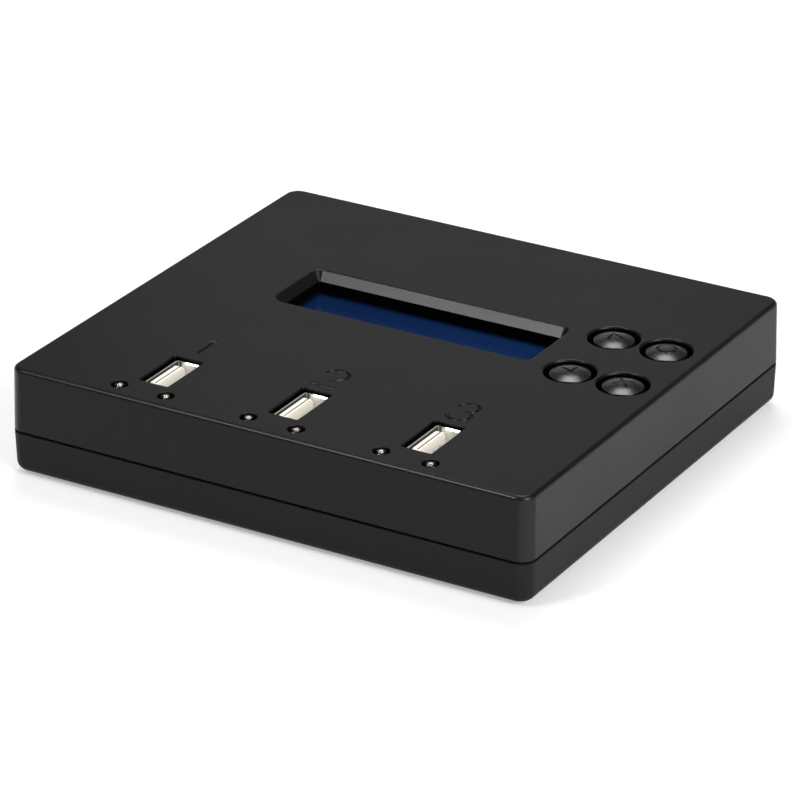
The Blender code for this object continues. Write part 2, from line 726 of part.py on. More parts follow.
def add_feet():
    high_z = foot_recess_z - SEAT_GAP
    profile = [(0, high_z), (FOOT_RADIUS, high_z), (FOOT_RADIUS, FOOT_ROUND),
               (FOOT_RADIUS - FOOT_ROUND, 0), (0, 0)]
    for number, (x, y) in enumerate(foot_places(), 1):
        turned(f"rubber_foot_{number}", profile, foot_rubber, ROUND_STEPS, (x, y, 0))


# Main circuit board

def add_main_board():
    board = finish("main_board", straight_block(board_half_x, board_half_y, board_z,
                                                board_top_z), board_green)
    low_z = board_z - CUT_OVERRUN
    high_z = board_top_z + CUT_OVERRUN
    half_notch = lower_boss_radius + BOARD_MARGIN
    for number, (x, y) in enumerate(boss_places(), 1):
        edge_reach = BOSS_INSET / 2
        notch = straight_block(half_notch + edge_reach, half_notch + edge_reach, low_z, high_z)
        place = (x + math.copysign(edge_reach, x), y + math.copysign(edge_reach, y), 0)
        cut(board, tool(f"board_notch_{number}", notch, place))
    for number, (x, y) in enumerate(board_screw_places(), 1):
        hole = cylinder(board_screw_hole_radius, low_z, high_z, SMALL_STEPS)
        cut(board, tool(f"board_hole_{number}", hole, (x, y, 0)))


# Upright ports: a steel shell round a plastic base and tongue with four contacts

def add_ports():
    section = (PORT_SHELL_WIDTH / 2, PORT_SHELL_LENGTH / 2, PORT_SHELL_CORNER)
    hollow = (port_inner_half_x, port_inner_half_y, PORT_SHELL_CORNER - PORT_SHELL_SHEET)
    for number, (x, y) in enumerate(port_places(), 1):
        place = (x, y, 0)
        shell = finish(f"port_shell_{number}", block(section, section, component_z,
                                                     port_rim_z), port_steel, place)
        inside = block(hollow, hollow, component_z - CUT_OVERRUN, port_rim_z + CUT_OVERRUN)
        cut(shell, tool(f"port_hollow_{number}", inside, place))
        add_port_insert(number, place)


def add_port_insert(number, place):
    base = finish(f"port_insert_{number}",
                  straight_block(port_inner_half_x - SEAT_GAP, port_inner_half_y - SEAT_GAP,
                                 component_z, port_base_z), port_plastic, place)
    join(base, tool(f"tongue_{number}", tongue_blade(), place))
    contact_x = tongue_back_x + TONGUE_THICKNESS
    offsets = (-CONTACT_OUTER_OFFSET, -CONTACT_INNER_OFFSET,
               CONTACT_INNER_OFFSET, CONTACT_OUTER_OFFSET)
    for count, offset in enumerate(offsets, 1):
        bar = straight_block(CONTACT_RAISE, CONTACT_WIDTH / 2, port_base_z - JOIN_OVERLAP,
                             tongue_top_z - CONTACT_TIP_SETBACK)
        contact_place = (place[0] + contact_x, place[1] + offset, 0)
        join(base, tool(f"contact_{number}_{count}", bar, contact_place))


def tongue_blade():
    bm = straight_block(TONGUE_THICKNESS / 2, TONGUE_WIDTH / 2,
                        port_base_z - JOIN_OVERLAP, tongue_top_z)
    ends = [edge for edge in bm.edges
            if all(math.isclose(vert.co.z, tongue_top_z, abs_tol=SAME_HEIGHT) for vert in edge.verts)
            and math.isclose(edge.verts[0].co.y, edge.verts[1].co.y, abs_tol=SAME_HEIGHT)]
    bmesh.ops.bevel(bm, geom=ends, offset=TONGUE_CORNER, segments=EDGE_SEGMENTS,
                    profile=0.5, affect="EDGES")
    bmesh.ops.translate(bm, verts=bm.verts,
                        vec=(tongue_back_x + TONGUE_THICKNESS / 2, 0, 0))
    return bm


# Status lights: a clear dome on a flange, with two leads down to the board

def add_lights():
    flange_radius = LIGHT_RADIUS + LIGHT_FLANGE_WIDTH
    flange_z = light_low_z + LIGHT_FLANGE_HEIGHT
    dome = arc_points((0, light_top_z - LIGHT_RADIUS), LIGHT_RADIUS, math.pi / 2, 0, 4)
    profile = dome + [(LIGHT_RADIUS, flange_z), (flange_radius, flange_z),
                      (flange_radius, light_low_z), (0, light_low_z)]
    profile[0] = (0, light_top_z)
    for number, (x, y) in enumerate(light_places(), 1):
        light = turned(f"status_light_{number}", profile, clear_resin, SMALL_STEPS, (x, y, 0))
        for count, side in enumerate(SIDES, 1):
            lead = straight_block(LEAD_SIDE / 2, LEAD_SIDE / 2, component_z,
                                  light_low_z + JOIN_OVERLAP)
            place = (x + side * LEAD_PITCH / 2, y, 0)
            join(light, tool(f"lead_{number}_{count}", lead, place))


# Keys: a domed cap on a switch stem, both carried by an empty on the line of travel

def cap_profile():
    crown_radius = (KEY_CAP_RADIUS ** 2 + KEY_CROWN ** 2) / (2 * KEY_CROWN)
    centre_z = shoulder_z + KEY_CROWN - crown_radius
    edge_radius = KEY_CAP_RADIUS - KEY_SHOULDER_ROUND
    edge_angle = math.acos(edge_radius / crown_radius)
    crown = arc_points((0, centre_z), crown_radius, math.pi / 2, edge_angle, 5)
    crown[0] = (0, shoulder_z + KEY_CROWN)
    under_z = shoulder_z - KEY_SKIN
    inner_radius = key_skirt_radius - KEY_SKIN
    return crown + [
        (KEY_CAP_RADIUS, shoulder_z - KEY_SHOULDER_ROUND),
        (key_skirt_radius, key_flange_top_z),
        (key_flange_radius, key_flange_top_z),
        (key_flange_radius, key_flange_low_z),
        (inner_radius, key_flange_low_z),
        (inner_radius, under_z),
        (key_hub_radius, under_z),
        (key_hub_radius, key_flange_low_z),
        (key_socket_radius, key_flange_low_z),
        (key_socket_radius, key_socket_z),
        (0, key_socket_z),
    ]


def stem_profile():
    return [(0, stem_top_z), (STEM_RADIUS - STEM_CHAMFER, stem_top_z),
            (STEM_RADIUS, stem_top_z - STEM_CHAMFER), (STEM_RADIUS, stem_low_z),
            (0, stem_low_z)]


def add_keys():
    for name, (x, y) in key_places().items():
        guide = bpy.data.objects.new(name + "_key_guide", None)
        guide.location = (x, y, 0)
        parts.objects.link(guide)
        turned(name + "_key_cap", cap_profile(), key_plastic, ROUND_STEPS, parent=guide)
        turned(name + "_switch_stem", stem_profile(), stem_plastic, SMALL_STEPS, parent=guide)
        housing = finish(name + "_switch_housing",
                         straight_block(SWITCH_SIDE / 2, SWITCH_SIDE / 2, component_z,
                                        switch_top_z), switch_plastic, (x, y, 0))
        recess = cylinder(key_socket_radius, switch_recess_z, switch_top_z + CUT_OVERRUN,
                          SMALL_STEPS)
        cut(housing, tool(name + "_switch_recess", recess, (x, y, 0)))


# Display module: metal frame, glass, light guide, board and header strip

def add_display():
    place = (window_x, window_y, 0)
    frame = finish("display_frame", straight_block(frame_half_x, frame_half_y, frame_low_z,
                                                   frame_top_z), display_steel, place)
    inside = straight_block(frame_half_x - FRAME_SHEET, frame_half_y - FRAME_SHEET,
                            frame_low_z - CUT_OVERRUN, frame_sheet_z)
    cut(frame, tool("frame_inside", inside, place))
    pane = straight_block(frame_window_half_x, frame_window_half_y,
                          frame_sheet_z - CUT_OVERRUN, frame_top_z + CUT_OVERRUN)
    cut(frame, tool("frame_window", pane, place))

    slab_half_x = frame_half_x - FRAME_SHEET - SEAT_GAP
    slab_half_y = frame_half_y - FRAME_SHEET - SEAT_GAP
    glass = finish("display_glass", straight_block(slab_half_x, slab_half_y, glass_low_z,
                                                   glass_slab_z), display_blue, place)
    raised = straight_block(frame_window_half_x - SEAT_GAP, frame_window_half_y - SEAT_GAP,
                            glass_slab_z - JOIN_OVERLAP, glass_top_z)
    join(glass, tool("glass_front", raised, place))

    finish("light_guide", straight_block(slab_half_x, slab_half_y, frame_low_z,
                                         glass_low_z - SEAT_GAP), guide_acrylic, place)

    board = finish("display_board",
                   straight_block(display_board_half_x, display_board_half_y,
                                  display_board_z, display_board_top_z), board_green, place)
    for number, (x, y) in enumerate(display_screw_places(), 1):
        hole = cylinder(display_hole_radius, display_board_z - CUT_OVERRUN,
                        display_board_top_z + CUT_OVERRUN, SMALL_STEPS)
        cut(board, tool(f"display_board_hole_{number}", hole, (x, y, 0)))

    header_y = window_y + display_board_half_y - HEADER_INSET
    finish("display_header", straight_block(HEADER_LENGTH / 2, HEADER_WIDTH / 2, component_z,
                                            display_board_z - SEAT_GAP),
           header_plastic, (window_x, header_y, 0))


# Power inlet: a housing with a round barrel in the rear wall, and its centre pin

def lying_cylinder(name, radius, from_y, to_y, steps=ROUND_STEPS):
    bm = cylinder(radius, -(to_y - from_y) / 2, (to_y - from_y) / 2, steps)
    piece = tool(name, bm, (inlet_x, (from_y + to_y) / 2, inlet_z))
    piece.rotation_euler = (math.radians(90), 0, 0)
    return piece


def add_inlet():
    housing = finish("inlet_housing",
                     straight_block(INLET_WIDTH / 2, INLET_LENGTH / 2, component_z,
                                    component_z + INLET_HEIGHT), inlet_plastic,
                     (inlet_x, (inlet_inner_y + inlet_back_y) / 2, 0))
    join(housing, lying_cylinder("inlet_barrel", INLET_BARREL_RADIUS,
                                 inlet_back_y - JOIN_OVERLAP, inlet_face_y))
    bore_y = inlet_face_y - INLET_BORE_DEPTH
    cut(housing, lying_cylinder("inlet_bore", INLET_BORE_RADIUS, bore_y,
                                inlet_face_y + CUT_OVERRUN))
    cut(housing, lying_cylinder("inlet_pin_hole", inlet_pin_hole_radius,
                                inlet_inner_y - CUT_OVERRUN, bore_y + CUT_OVERRUN,
                                SMALL_STEPS))
    length = inlet_face_y - INLET_PIN_RECESS - inlet_inner_y
    chamfer = INLET_PIN_RADIUS * TIP_CHAMFER_SHARE
    profile = [(0, length), (INLET_PIN_RADIUS - chamfer, length),
               (INLET_PIN_RADIUS, length - chamfer), (INLET_PIN_RADIUS, 0), (0, 0)]
    pin = turned("inlet_pin", profile, inlet_brass, SMALL_STEPS,
                 (inlet_x, inlet_inner_y, inlet_z))
    pin.rotation_euler = (math.radians(-90), 0, 0)


# Components on the main board

def on_board(shares):
    return shares[0] * board_half_x, shares[1] * board_half_y, 0


def add_chip(name, width, length, height, material, shares):
    bm = straight_block(width / 2, length / 2, component_z, component_z + height)
    round_rim(bm, component_z + height, CHIP_CHAMFER)
    finish(name, bm, material, on_board(shares))


def add_components():
    add_chip("controller_chip", CONTROLLER_SIDE, CONTROLLER_SIDE, CONTROLLER_HEIGHT,
             chip_epoxy, CONTROLLER_SHARES)
    add_chip("memory_chip", MEMORY_WIDTH, MEMORY_LENGTH, MEMORY_HEIGHT, chip_epoxy,
             MEMORY_SHARES)
    crystal = straight_block(CRYSTAL_LENGTH / 2, CRYSTAL_WIDTH / 2, component_z,
                             component_z + CRYSTAL_HEIGHT, CRYSTAL_ROUND)
    finish("crystal", crystal, can_metal, on_board(CRYSTAL_SHARES))

    rear_y = board_half_y - REAR_COMPONENT_INSET
    inductor = straight_block(INDUCTOR_SIDE / 2, INDUCTOR_SIDE / 2, component_z,
                              component_z + INDUCTOR_HEIGHT, INDUCTOR_ROUND)
    finish("power_inductor", inductor, ferrite, (INDUCTOR_SHARE * board_half_x, rear_y, 0))

    high_z = component_z + CAPACITOR_HEIGHT
    groove_radius = CAPACITOR_RADIUS - CAPACITOR_GROOVE_DEPTH
    groove_z = component_z + 2 * CAPACITOR_GROOVE_HEIGHT
    profile = [(0, high_z), (groove_radius, high_z),
               (CAPACITOR_RADIUS, high_z - CAPACITOR_GROOVE_DEPTH),
               (CAPACITOR_RADIUS, groove_z),
               (groove_radius, groove_z - CAPACITOR_GROOVE_HEIGHT / 2),
               (CAPACITOR_RADIUS, groove_z - CAPACITOR_GROOVE_HEIGHT),
               (CAPACITOR_RADIUS, component_z), (0, component_z)]
    turned("input_capacitor", profile, can_metal, ROUND_STEPS,
           (CAPACITOR_SHARE * board_half_x, rear_y, 0))

    high_z = component_z + BUZZER_HEIGHT
    profile = [(0, high_z - BUZZER_PORT_DEPTH), (BUZZER_PORT_RADIUS, high_z - BUZZER_PORT_DEPTH),
               (BUZZER_PORT_RADIUS, high_z), (BUZZER_RADIUS, high_z),
               (BUZZER_RADIUS, component_z), (0, component_z)]
    turned("buzzer", profile, chip_epoxy, ROUND_STEPS,
           (BUZZER_SHARE * board_half_x, rear_y, 0))


inlet_hole = inlet_cutter()
add_top_shell(inlet_hole)
add_bottom_shell(inlet_hole)
add_case_screws()
add_feet()
add_main_board()
add_board_screws()
add_ports()
add_lights()
add_keys()
add_display()
add_display_screws()
add_inlet()
add_components()
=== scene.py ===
# A usb flash drive duplicator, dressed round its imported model.
# Sizes in the dictionaries are millimetres in the model's own frame, and keepPiece turns
# them into metres. X runs along the front edge, Y to the back, Z up from the feet.

from math import acos, cos, pi, radians, sin, tan

import bpy
import bmesh
from mathutils import Matrix, Vector


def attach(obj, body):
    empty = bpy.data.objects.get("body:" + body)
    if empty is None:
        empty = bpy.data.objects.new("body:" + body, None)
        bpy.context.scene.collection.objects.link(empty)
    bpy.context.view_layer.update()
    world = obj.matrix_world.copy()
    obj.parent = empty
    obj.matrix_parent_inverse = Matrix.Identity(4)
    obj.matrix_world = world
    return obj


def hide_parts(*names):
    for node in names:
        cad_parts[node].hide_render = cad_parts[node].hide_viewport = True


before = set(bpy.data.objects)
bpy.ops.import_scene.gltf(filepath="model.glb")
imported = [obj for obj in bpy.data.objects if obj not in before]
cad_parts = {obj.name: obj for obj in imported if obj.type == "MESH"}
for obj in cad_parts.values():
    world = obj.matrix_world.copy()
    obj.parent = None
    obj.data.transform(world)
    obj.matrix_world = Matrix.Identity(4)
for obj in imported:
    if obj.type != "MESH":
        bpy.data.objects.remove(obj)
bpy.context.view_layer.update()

mm = 0.001
scene = bpy.context.scene


# Camera at the photograph's viewing angle
view = {
    "azimuth": 30.148, "elevation": 25.058, "roll": 0.131,      # degrees
    "lens": 202.30, "sensor": 36.0,
    "place": (421.71, -726.75, 401.13),
}


def addCamera():
    data = bpy.data.cameras.new("camera")
    data.lens = view["lens"]
    data.sensor_width = view["sensor"]
    data.clip_start = 0.02
    data.clip_end = 20
    camera = bpy.data.objects.new("camera", data)
    turn = (Matrix.Rotation(radians(view["azimuth"]), 4, "Z")
            @ Matrix.Rotation(radians(90 - view["elevation"]), 4, "X")
            @ Matrix.Rotation(radians(view["roll"]), 4, "Z"))
    camera.matrix_world = Matrix.Translation(Vector(view["place"]) * mm) @ turn
    scene.collection.objects.link(camera)
    scene.camera = camera


def link(tree, output, entry):
    tree.links.new(output, entry)


def math(tree, operation, first, second=None, clamp=False):
    node = tree.nodes.new("ShaderNodeMath")
    node.operation = operation
    node.use_clamp = clamp
    for entry, value in zip(node.inputs, (first, second)):
        if value is None:
            continue
        if isinstance(value, (int, float)):
            entry.default_value = value
        else:
            link(tree, value, entry)
    return node.outputs[0]


# Brightness of the room by height above the horizon (as a sine), times a share by how far
# round a direction is from the bright side (1 there, 0 opposite). Reflections and looks
# through glass see the white backdrop up to the second of its heights.
room = {
    "heights": ((0.0, 0.80), (0.10, 0.40), (0.20, 0.20), (0.32, 0.17), (0.50, 0.15),
                (0.75, 0.07), (1.0, 0.06)),
    "sides": ((0.0, 0.45), (0.40, 0.30), (0.70, 0.12), (0.90, 0.80), (1.0, 1.0)),
    "brightSide": (-0.5, 0.866, 0.0), "backdrop": (0.02, 0.12),
}


def grayRamp(tree, value, stops):
    ramp = tree.nodes.new("ShaderNodeValToRGB")
    points = ramp.color_ramp.elements
    while len(points) < len(stops):
        points.new(0.5)
    for point, (place, level) in zip(points, stops):
        point.position = place
        point.color = (level, level, level, 1)
    link(tree, value, ramp.inputs["Fac"])
    return ramp.outputs["Color"]


def addWorld():
    world = bpy.data.worlds.new("room")
    world.use_nodes = True
    scene.world = world
    tree = world.node_tree
    nodes = tree.nodes
    nodes.clear()
    spot = nodes.new("ShaderNodeTexCoord").outputs["Generated"]
    split = nodes.new("ShaderNodeSeparateXYZ")
    link(tree, spot, split.inputs[0])
    around = nodes.new("ShaderNodeVectorMath")
    around.operation = "DOT_PRODUCT"
    link(tree, spot, around.inputs[0])
    around.inputs[1].default_value = room["brightSide"]
    side = math(tree, "MULTIPLY", math(tree, "ADD", around.outputs["Value"], 1.0), 0.5)
    low = nodes.new("ShaderNodeMapRange")
    low.inputs["From Min"].default_value, low.inputs["From Max"].default_value = room["backdrop"]
    low.inputs["To Min"].default_value = 1.0
    low.inputs["To Max"].default_value = 0.0
    link(tree, split.outputs["Z"], low.inputs["Value"])
    path = nodes.new("ShaderNodeLightPath")
    bounced = math(tree, "MAXIMUM", path.outputs["Is Glossy Ray"],
                   path.outputs["Is Transmission Ray"])
    seen = math(tree, "MAXIMUM", path.outputs["Is Camera Ray"],
                math(tree, "MULTIPLY", bounced, low.outputs["Result"]))
    plain = nodes.new("ShaderNodeBackground")
    link(tree, grayRamp(tree, split.outputs["Z"], room["heights"]), plain.inputs["Color"])
    link(tree, grayRamp(tree, side, room["sides"]), plain.inputs["Strength"])
    white = nodes.new("ShaderNodeBackground")
    white.inputs["Color"].default_value = (1, 1, 1, 1)
    mix = nodes.new("ShaderNodeMixShader")
    out = nodes.new("ShaderNodeOutputWorld")
    link(tree, seen, mix.inputs[0])
    link(tree, plain.outputs[0], mix.inputs[1])
    link(tree, white.outputs[0], mix.inputs[2])
    link(tree, mix.outputs[0], out.inputs["Surface"])


# lamps: middle of each panel and the point it faces, in metres, its sides and its radiance
lamps = {
    "overhead": {"at": (-0.12, 0.05, 1.00), "to": (-0.12, 0.05, 0.0), "size": (1.30, 1.05),
                 "level": 0.34},
    "topKey": {"at": (-0.18, 0.424, 0.995), "to": (0, 0, 0), "size": (0.40, 0.40),
               "level": 6.6},
    "sideKey": {"at": (1.04, -0.34, 0.70), "to": (0, 0, 0), "size": (0.70, 0.70),
                "level": 5.8},
    "frontLeft": {"at": (-0.47, -0.73, 0.93), "to": (0, 0, 0), "size": (0.37, 0.37),
                  "level": 9.2},
    "backCard": {"at": (-0.245, 0.45, 0.25), "to": (0, 0, 0.02), "size": (0.24, 0.16),
                 "level": 0.30},
}


def addLamps():
    for name, lamp in lamps.items():
        data = bpy.data.lights.new(name, "AREA")
        data.shape = "RECTANGLE"
        data.size, data.size_y = lamp["size"]
        data.energy = 4 * lamp["level"] * data.size * data.size_y
        panel = bpy.data.objects.new(name, data)
        aim = Vector(lamp["at"]) - Vector(lamp["to"])
        panel.matrix_world = (Matrix.Translation(Vector(lamp["at"]))
                              @ aim.to_track_quat("Z", "Y").to_matrix().to_4x4())
        panel.visible_camera = False
        scene.collection.objects.link(panel)


floorLook = {"reach": 2.0, "color": 0.80, "glow": 0.36}


def addFloor():
    bm = bmesh.new()
    bmesh.ops.create_grid(bm, x_segments=1, y_segments=1, size=floorLook["reach"])
    mesh = bpy.data.meshes.new("floor")
    bm.to_mesh(mesh)
    bm.free()
    floor = bpy.data.objects.new("floor", mesh)
    scene.collection.objects.link(floor)
    material = bpy.data.materials.new("floorPaper")
    material.use_nodes = True
    tree = material.node_tree
    nodes = tree.nodes
    nodes.clear()
    paper = nodes.new("ShaderNodeBsdfDiffuse")
    paper.inputs["Color"].default_value = (floorLook["color"],) * 3 + (1,)
    glow = nodes.new("ShaderNodeEmission")
    path = nodes.new("ShaderNodeLightPath")
    bounced = math(tree, "MAXIMUM", path.outputs["Is Glossy Ray"],
                   path.outputs["Is Transmission Ray"])
    seen = math(tree, "MAXIMUM", path.outputs["Is Camera Ray"], bounced)
    both = nodes.new("ShaderNodeAddShader")
    geometry = nodes.new("ShaderNodeNewGeometry")
    clear = nodes.new("ShaderNodeBsdfTransparent")
    side = nodes.new("ShaderNodeMixShader")
    out = nodes.new("ShaderNodeOutputMaterial")
    link(tree, math(tree, "MULTIPLY", seen, floorLook["glow"]), glow.inputs["Strength"])
    link(tree, paper.outputs[0], both.inputs[0])
    link(tree, glow.outputs[0], both.inputs[1])
    link(tree, geometry.outputs["Backfacing"], side.inputs[0])
    link(tree, both.outputs[0], side.inputs[1])
    link(tree, clear.outputs[0], side.inputs[2])
    link(tree, side.outputs[0], out.inputs["Surface"])
    mesh.materials.append(material)


addCamera()
addWorld()
addLamps()
addFloor()
scene.view_settings.view_transform = "Standard"
print("stage: camera, room, lamps and floor")


# Shader groups that several finishes share
def newGroup(name, entries, results):
    tree = bpy.data.node_groups.new(name, "ShaderNodeTree")
    for entry, value in entries.items():
        socket = tree.interface.new_socket(entry, in_out="INPUT", socket_type="NodeSocketFloat")
        socket.default_value = value
    for result in results:
        tree.interface.new_socket(result, in_out="OUTPUT", socket_type="NodeSocketFloat")
    return tree, tree.nodes.new("NodeGroupInput"), tree.nodes.new("NodeGroupOutput")


def objectSpot(tree):
    return tree.nodes.new("ShaderNodeTexCoord").outputs["Object"]


def noise(tree, spot, scale, detail=2.0, roughness=0.5):
    node = tree.nodes.new("ShaderNodeTexNoise")
    node.inputs["Detail"].default_value = detail
    node.inputs["Roughness"].default_value = roughness
    link(tree, spot, node.inputs["Vector"])
    if isinstance(scale, (int, float)):
        node.inputs["Scale"].default_value = scale
    else:
        link(tree, scale, node.inputs["Scale"])
    return node.outputs["Fac"]


# Spark-eroded mould texture: rounded pits over a finer noise
def buildGrainGroup():
    tree, given, result = newGroup("mouldGrain", {"Scale": 2400.0, "Pits": 0.6}, ["Height"])
    spot = objectSpot(tree)
    fine = noise(tree, spot, given.outputs["Scale"], 3.0, 0.6)
    cells = tree.nodes.new("ShaderNodeTexVoronoi")
    cells.feature = "SMOOTH_F1"
    link(tree, spot, cells.inputs["Vector"])
    link(tree, math(tree, "MULTIPLY", given.outputs["Scale"], 0.8), cells.inputs["Scale"])
    pits = math(tree, "MULTIPLY", cells.outputs["Distance"], given.outputs["Pits"])
    link(tree, math(tree, "ADD", fine, pits), result.inputs["Height"])
    return tree


# Slow change over the surface, as from flow in the mould or light handling
def buildMottleGroup():
    tree, given, result = newGroup("slowMottle", {"Scale": 60.0, "Amount": 1.0}, ["Value"])
    spot = objectSpot(tree)
    broad = noise(tree, spot, given.outputs["Scale"], 4.0, 0.55)
    centred = math(tree, "SUBTRACT", broad, 0.5)
    link(tree, math(tree, "MULTIPLY", centred, given.outputs["Amount"]), result.inputs["Value"])
    return tree


# 1 along the edges of the form, where touch has polished it
def buildEdgeGroup():
    tree, given, result = newGroup("edgeTouch", {"Gain": 6.0}, ["Edge"])
    soft = tree.nodes.new("ShaderNodeBevel")
    soft.samples = 4
    soft.inputs["Radius"].default_value = 0.0005
    geometry = tree.nodes.new("ShaderNodeNewGeometry")
    turned = tree.nodes.new("ShaderNodeVectorMath")
    turned.operation = "DOT_PRODUCT"
    link(tree, soft.outputs[0], turned.inputs[0])
    link(tree, geometry.outputs["Normal"], turned.inputs[1])
    away = math(tree, "SUBTRACT", 1.0, turned.outputs["Value"])
    patchy = math(tree, "ADD", noise(tree, objectSpot(tree), 900.0, 2.0), 0.4)
    edge = math(tree, "MULTIPLY", math(tree, "MULTIPLY", away, given.outputs["Gain"]), patchy)
    link(tree, math(tree, "MINIMUM", edge, 1.0, True), result.inputs["Edge"])
    return tree


# 1 on rounded edges and slopes, where the mould is polished; 0 on level and upright faces
def buildSlopeGroup():
    tree, given, result = newGroup("slopePolish", {"Gain": 8.0}, ["Slope"])
    geometry = tree.nodes.new("ShaderNodeNewGeometry")
    sizes = tree.nodes.new("ShaderNodeVectorMath")
    sizes.operation = "ABSOLUTE"
    link(tree, geometry.outputs["Normal"], sizes.inputs[0])
    split = tree.nodes.new("ShaderNodeSeparateXYZ")
    link(tree, sizes.outputs[0], split.inputs[0])
    most = math(tree, "MAXIMUM", math(tree, "MAXIMUM", split.outputs["X"], split.outputs["Y"]),
                split.outputs["Z"])
    slope = math(tree, "SUBTRACT", 0.99, most, True)
    link(tree, math(tree, "MULTIPLY", slope, given.outputs["Gain"], True),
         result.inputs["Slope"])
    return tree


# Long fine lines, as from drawing or turning metal
def buildDrawnGroup():
    tree, given, result = newGroup("drawnLines", {"Scale": 1500.0, "Stretch": 0.04}, ["Height"])
    split = tree.nodes.new("ShaderNodeSeparateXYZ")
    link(tree, objectSpot(tree), split.inputs[0])
    joined = tree.nodes.new("ShaderNodeCombineXYZ")
    link(tree, split.outputs["X"], joined.inputs["X"])
    link(tree, split.outputs["Y"], joined.inputs["Y"])
    link(tree, math(tree, "MULTIPLY", split.outputs["Z"], given.outputs["Stretch"]),
         joined.inputs["Z"])
    lines = noise(tree, joined.outputs[0], given.outputs["Scale"], 2.0)
    link(tree, lines, result.inputs["Height"])
    return tree


grainGroup = buildGrainGroup()
mottleGroup = buildMottleGroup()
edgeGroup = buildEdgeGroup()
slopeGroup = buildSlopeGroup()
drawnGroup = buildDrawnGroup()


def useGroup(tree, group, **values):
    node = tree.nodes.new("ShaderNodeGroup")
    node.node_tree = group
    for name, value in values.items():
        node.inputs[name].default_value = value
    return node.outputs[0]


def newMaterial(name):
    material = bpy.data.materials.new(name)
    material.use_nodes = True
    return material, material.node_tree, material.node_tree.nodes["Principled BSDF"]


def addBump(tree, shader, height, depth):
    bump = tree.nodes.new("ShaderNodeBump")
    bump.inputs["Strength"].default_value = 1.0
    bump.inputs["Distance"].default_value = depth * mm
    link(tree, height, bump.inputs["Height"])
    link(tree, bump.outputs[0], shader.inputs["Normal"])


def blendColor(tree, factor, low, high):
    mix = tree.nodes.new("ShaderNodeMix")
    mix.data_type = "RGBA"
    link(tree, factor, mix.inputs["Factor"])
    mix.inputs[6].default_value = (*low, 1)
    mix.inputs[7].default_value = (*high, 1)
    return mix.outputs[2]


# Plastics: grain is the texture's scale, depth the bump's height
plastics = {
    "topShellPlastic": {"color": (0.0073, 0.0074, 0.0075), "rough": 0.34, "grain": 2600,
                        "depth": 0.012, "polish": 0.0, "vary": 0.16, "specular": 0.17,
                        "slopeCoat": 0.30, "coatRough": 0.24, "openingShadeShare": 0.2,
                        # boxes whose walls get painted shade: a darker colour and a lower
                        # specular level
                        "shadedOpenings": (((32.4, -6.0), (58.0, 27.0), 23.22),
                                 ((-40.0, -53.0), (40.0, -32.0), 23.22),
                                 ((-32.0, 0.0), (30.0, 20.0), 21.66))},
    "bottomShellPlastic": {"color": (0.0225, 0.0227, 0.0230), "rough": 0.42, "grain": 2400,
                           "depth": 0.014, "polish": 0.0, "vary": 0.12, "specular": 0.05},
    "keyPlastic": {"color": (0.0072, 0.0072, 0.0074), "rough": 0.28, "grain": 3200,
                   "depth": 0.005, "polish": 0.05, "vary": 0.10, "specular": 0.58},
    # the port tongue's plastic carries an emission, painted light on its shaded faces
    "portPlastic": {"color": (0.93, 0.89, 0.80), "rough": 0.42, "grain": 1800,
                    "depth": 0.006, "polish": 0.0, "vary": 0.04, "paintedGlow": 0.22},
    "footRubber": {"color": (0.014, 0.014, 0.014), "rough": 0.82, "grain": 1500,
                   "depth": 0.030, "polish": 0.10, "vary": 0.25},
    "inletPlastic": {"color": (0.012, 0.012, 0.012), "rough": 0.48, "grain": 2200,
                     "depth": 0.010, "polish": 0.10, "vary": 0.12},
    "headerPlastic": {"color": (0.015, 0.015, 0.016), "rough": 0.55, "grain": 2000,
                      "depth": 0.010, "polish": 0.05, "vary": 0.12},
    "switchPlastic": {"color": (0.025, 0.025, 0.026), "rough": 0.50, "grain": 2000,
                      "depth": 0.010, "polish": 0.05, "vary": 0.12},
    "stemPlastic": {"color": (0.60, 0.56, 0.47), "rough": 0.45, "grain": 2000,
                    "depth": 0.006, "polish": 0.0, "vary": 0.10},
    "chipEpoxy": {"color": (0.016, 0.016, 0.018), "rough": 0.62, "grain": 3600,
                  "depth": 0.012, "polish": 0.0, "vary": 0.12},
    "ferrite": {"color": (0.045, 0.045, 0.047), "rough": 0.72, "grain": 2600,
                "depth": 0.020, "polish": 0.0, "vary": 0.20},
    "guideAcrylic": {"color": (0.74, 0.77, 0.78), "rough": 0.30, "grain": 1200,
                     "depth": 0.004, "polish": 0.0, "vary": 0.05},
}


# 1 inside the given rectangles of X and Y, below a height: the walls of the openings there, which
# get painted shade
def insideOpenings(tree, places):
    split = tree.nodes.new("ShaderNodeSeparateXYZ")
    link(tree, objectSpot(tree), split.inputs[0])
    inside = 0.0
    for low, high, topZ in places:
        within = math(tree, "LESS_THAN", split.outputs["Z"], topZ * mm)
        for axis in (0, 1):
            over = math(tree, "GREATER_THAN", split.outputs[axis], low[axis] * mm)
            under = math(tree, "LESS_THAN", split.outputs[axis], high[axis] * mm)
            within = math(tree, "MULTIPLY", within, math(tree, "MULTIPLY", over, under))
        inside = math(tree, "MAXIMUM", within, inside)
    return inside


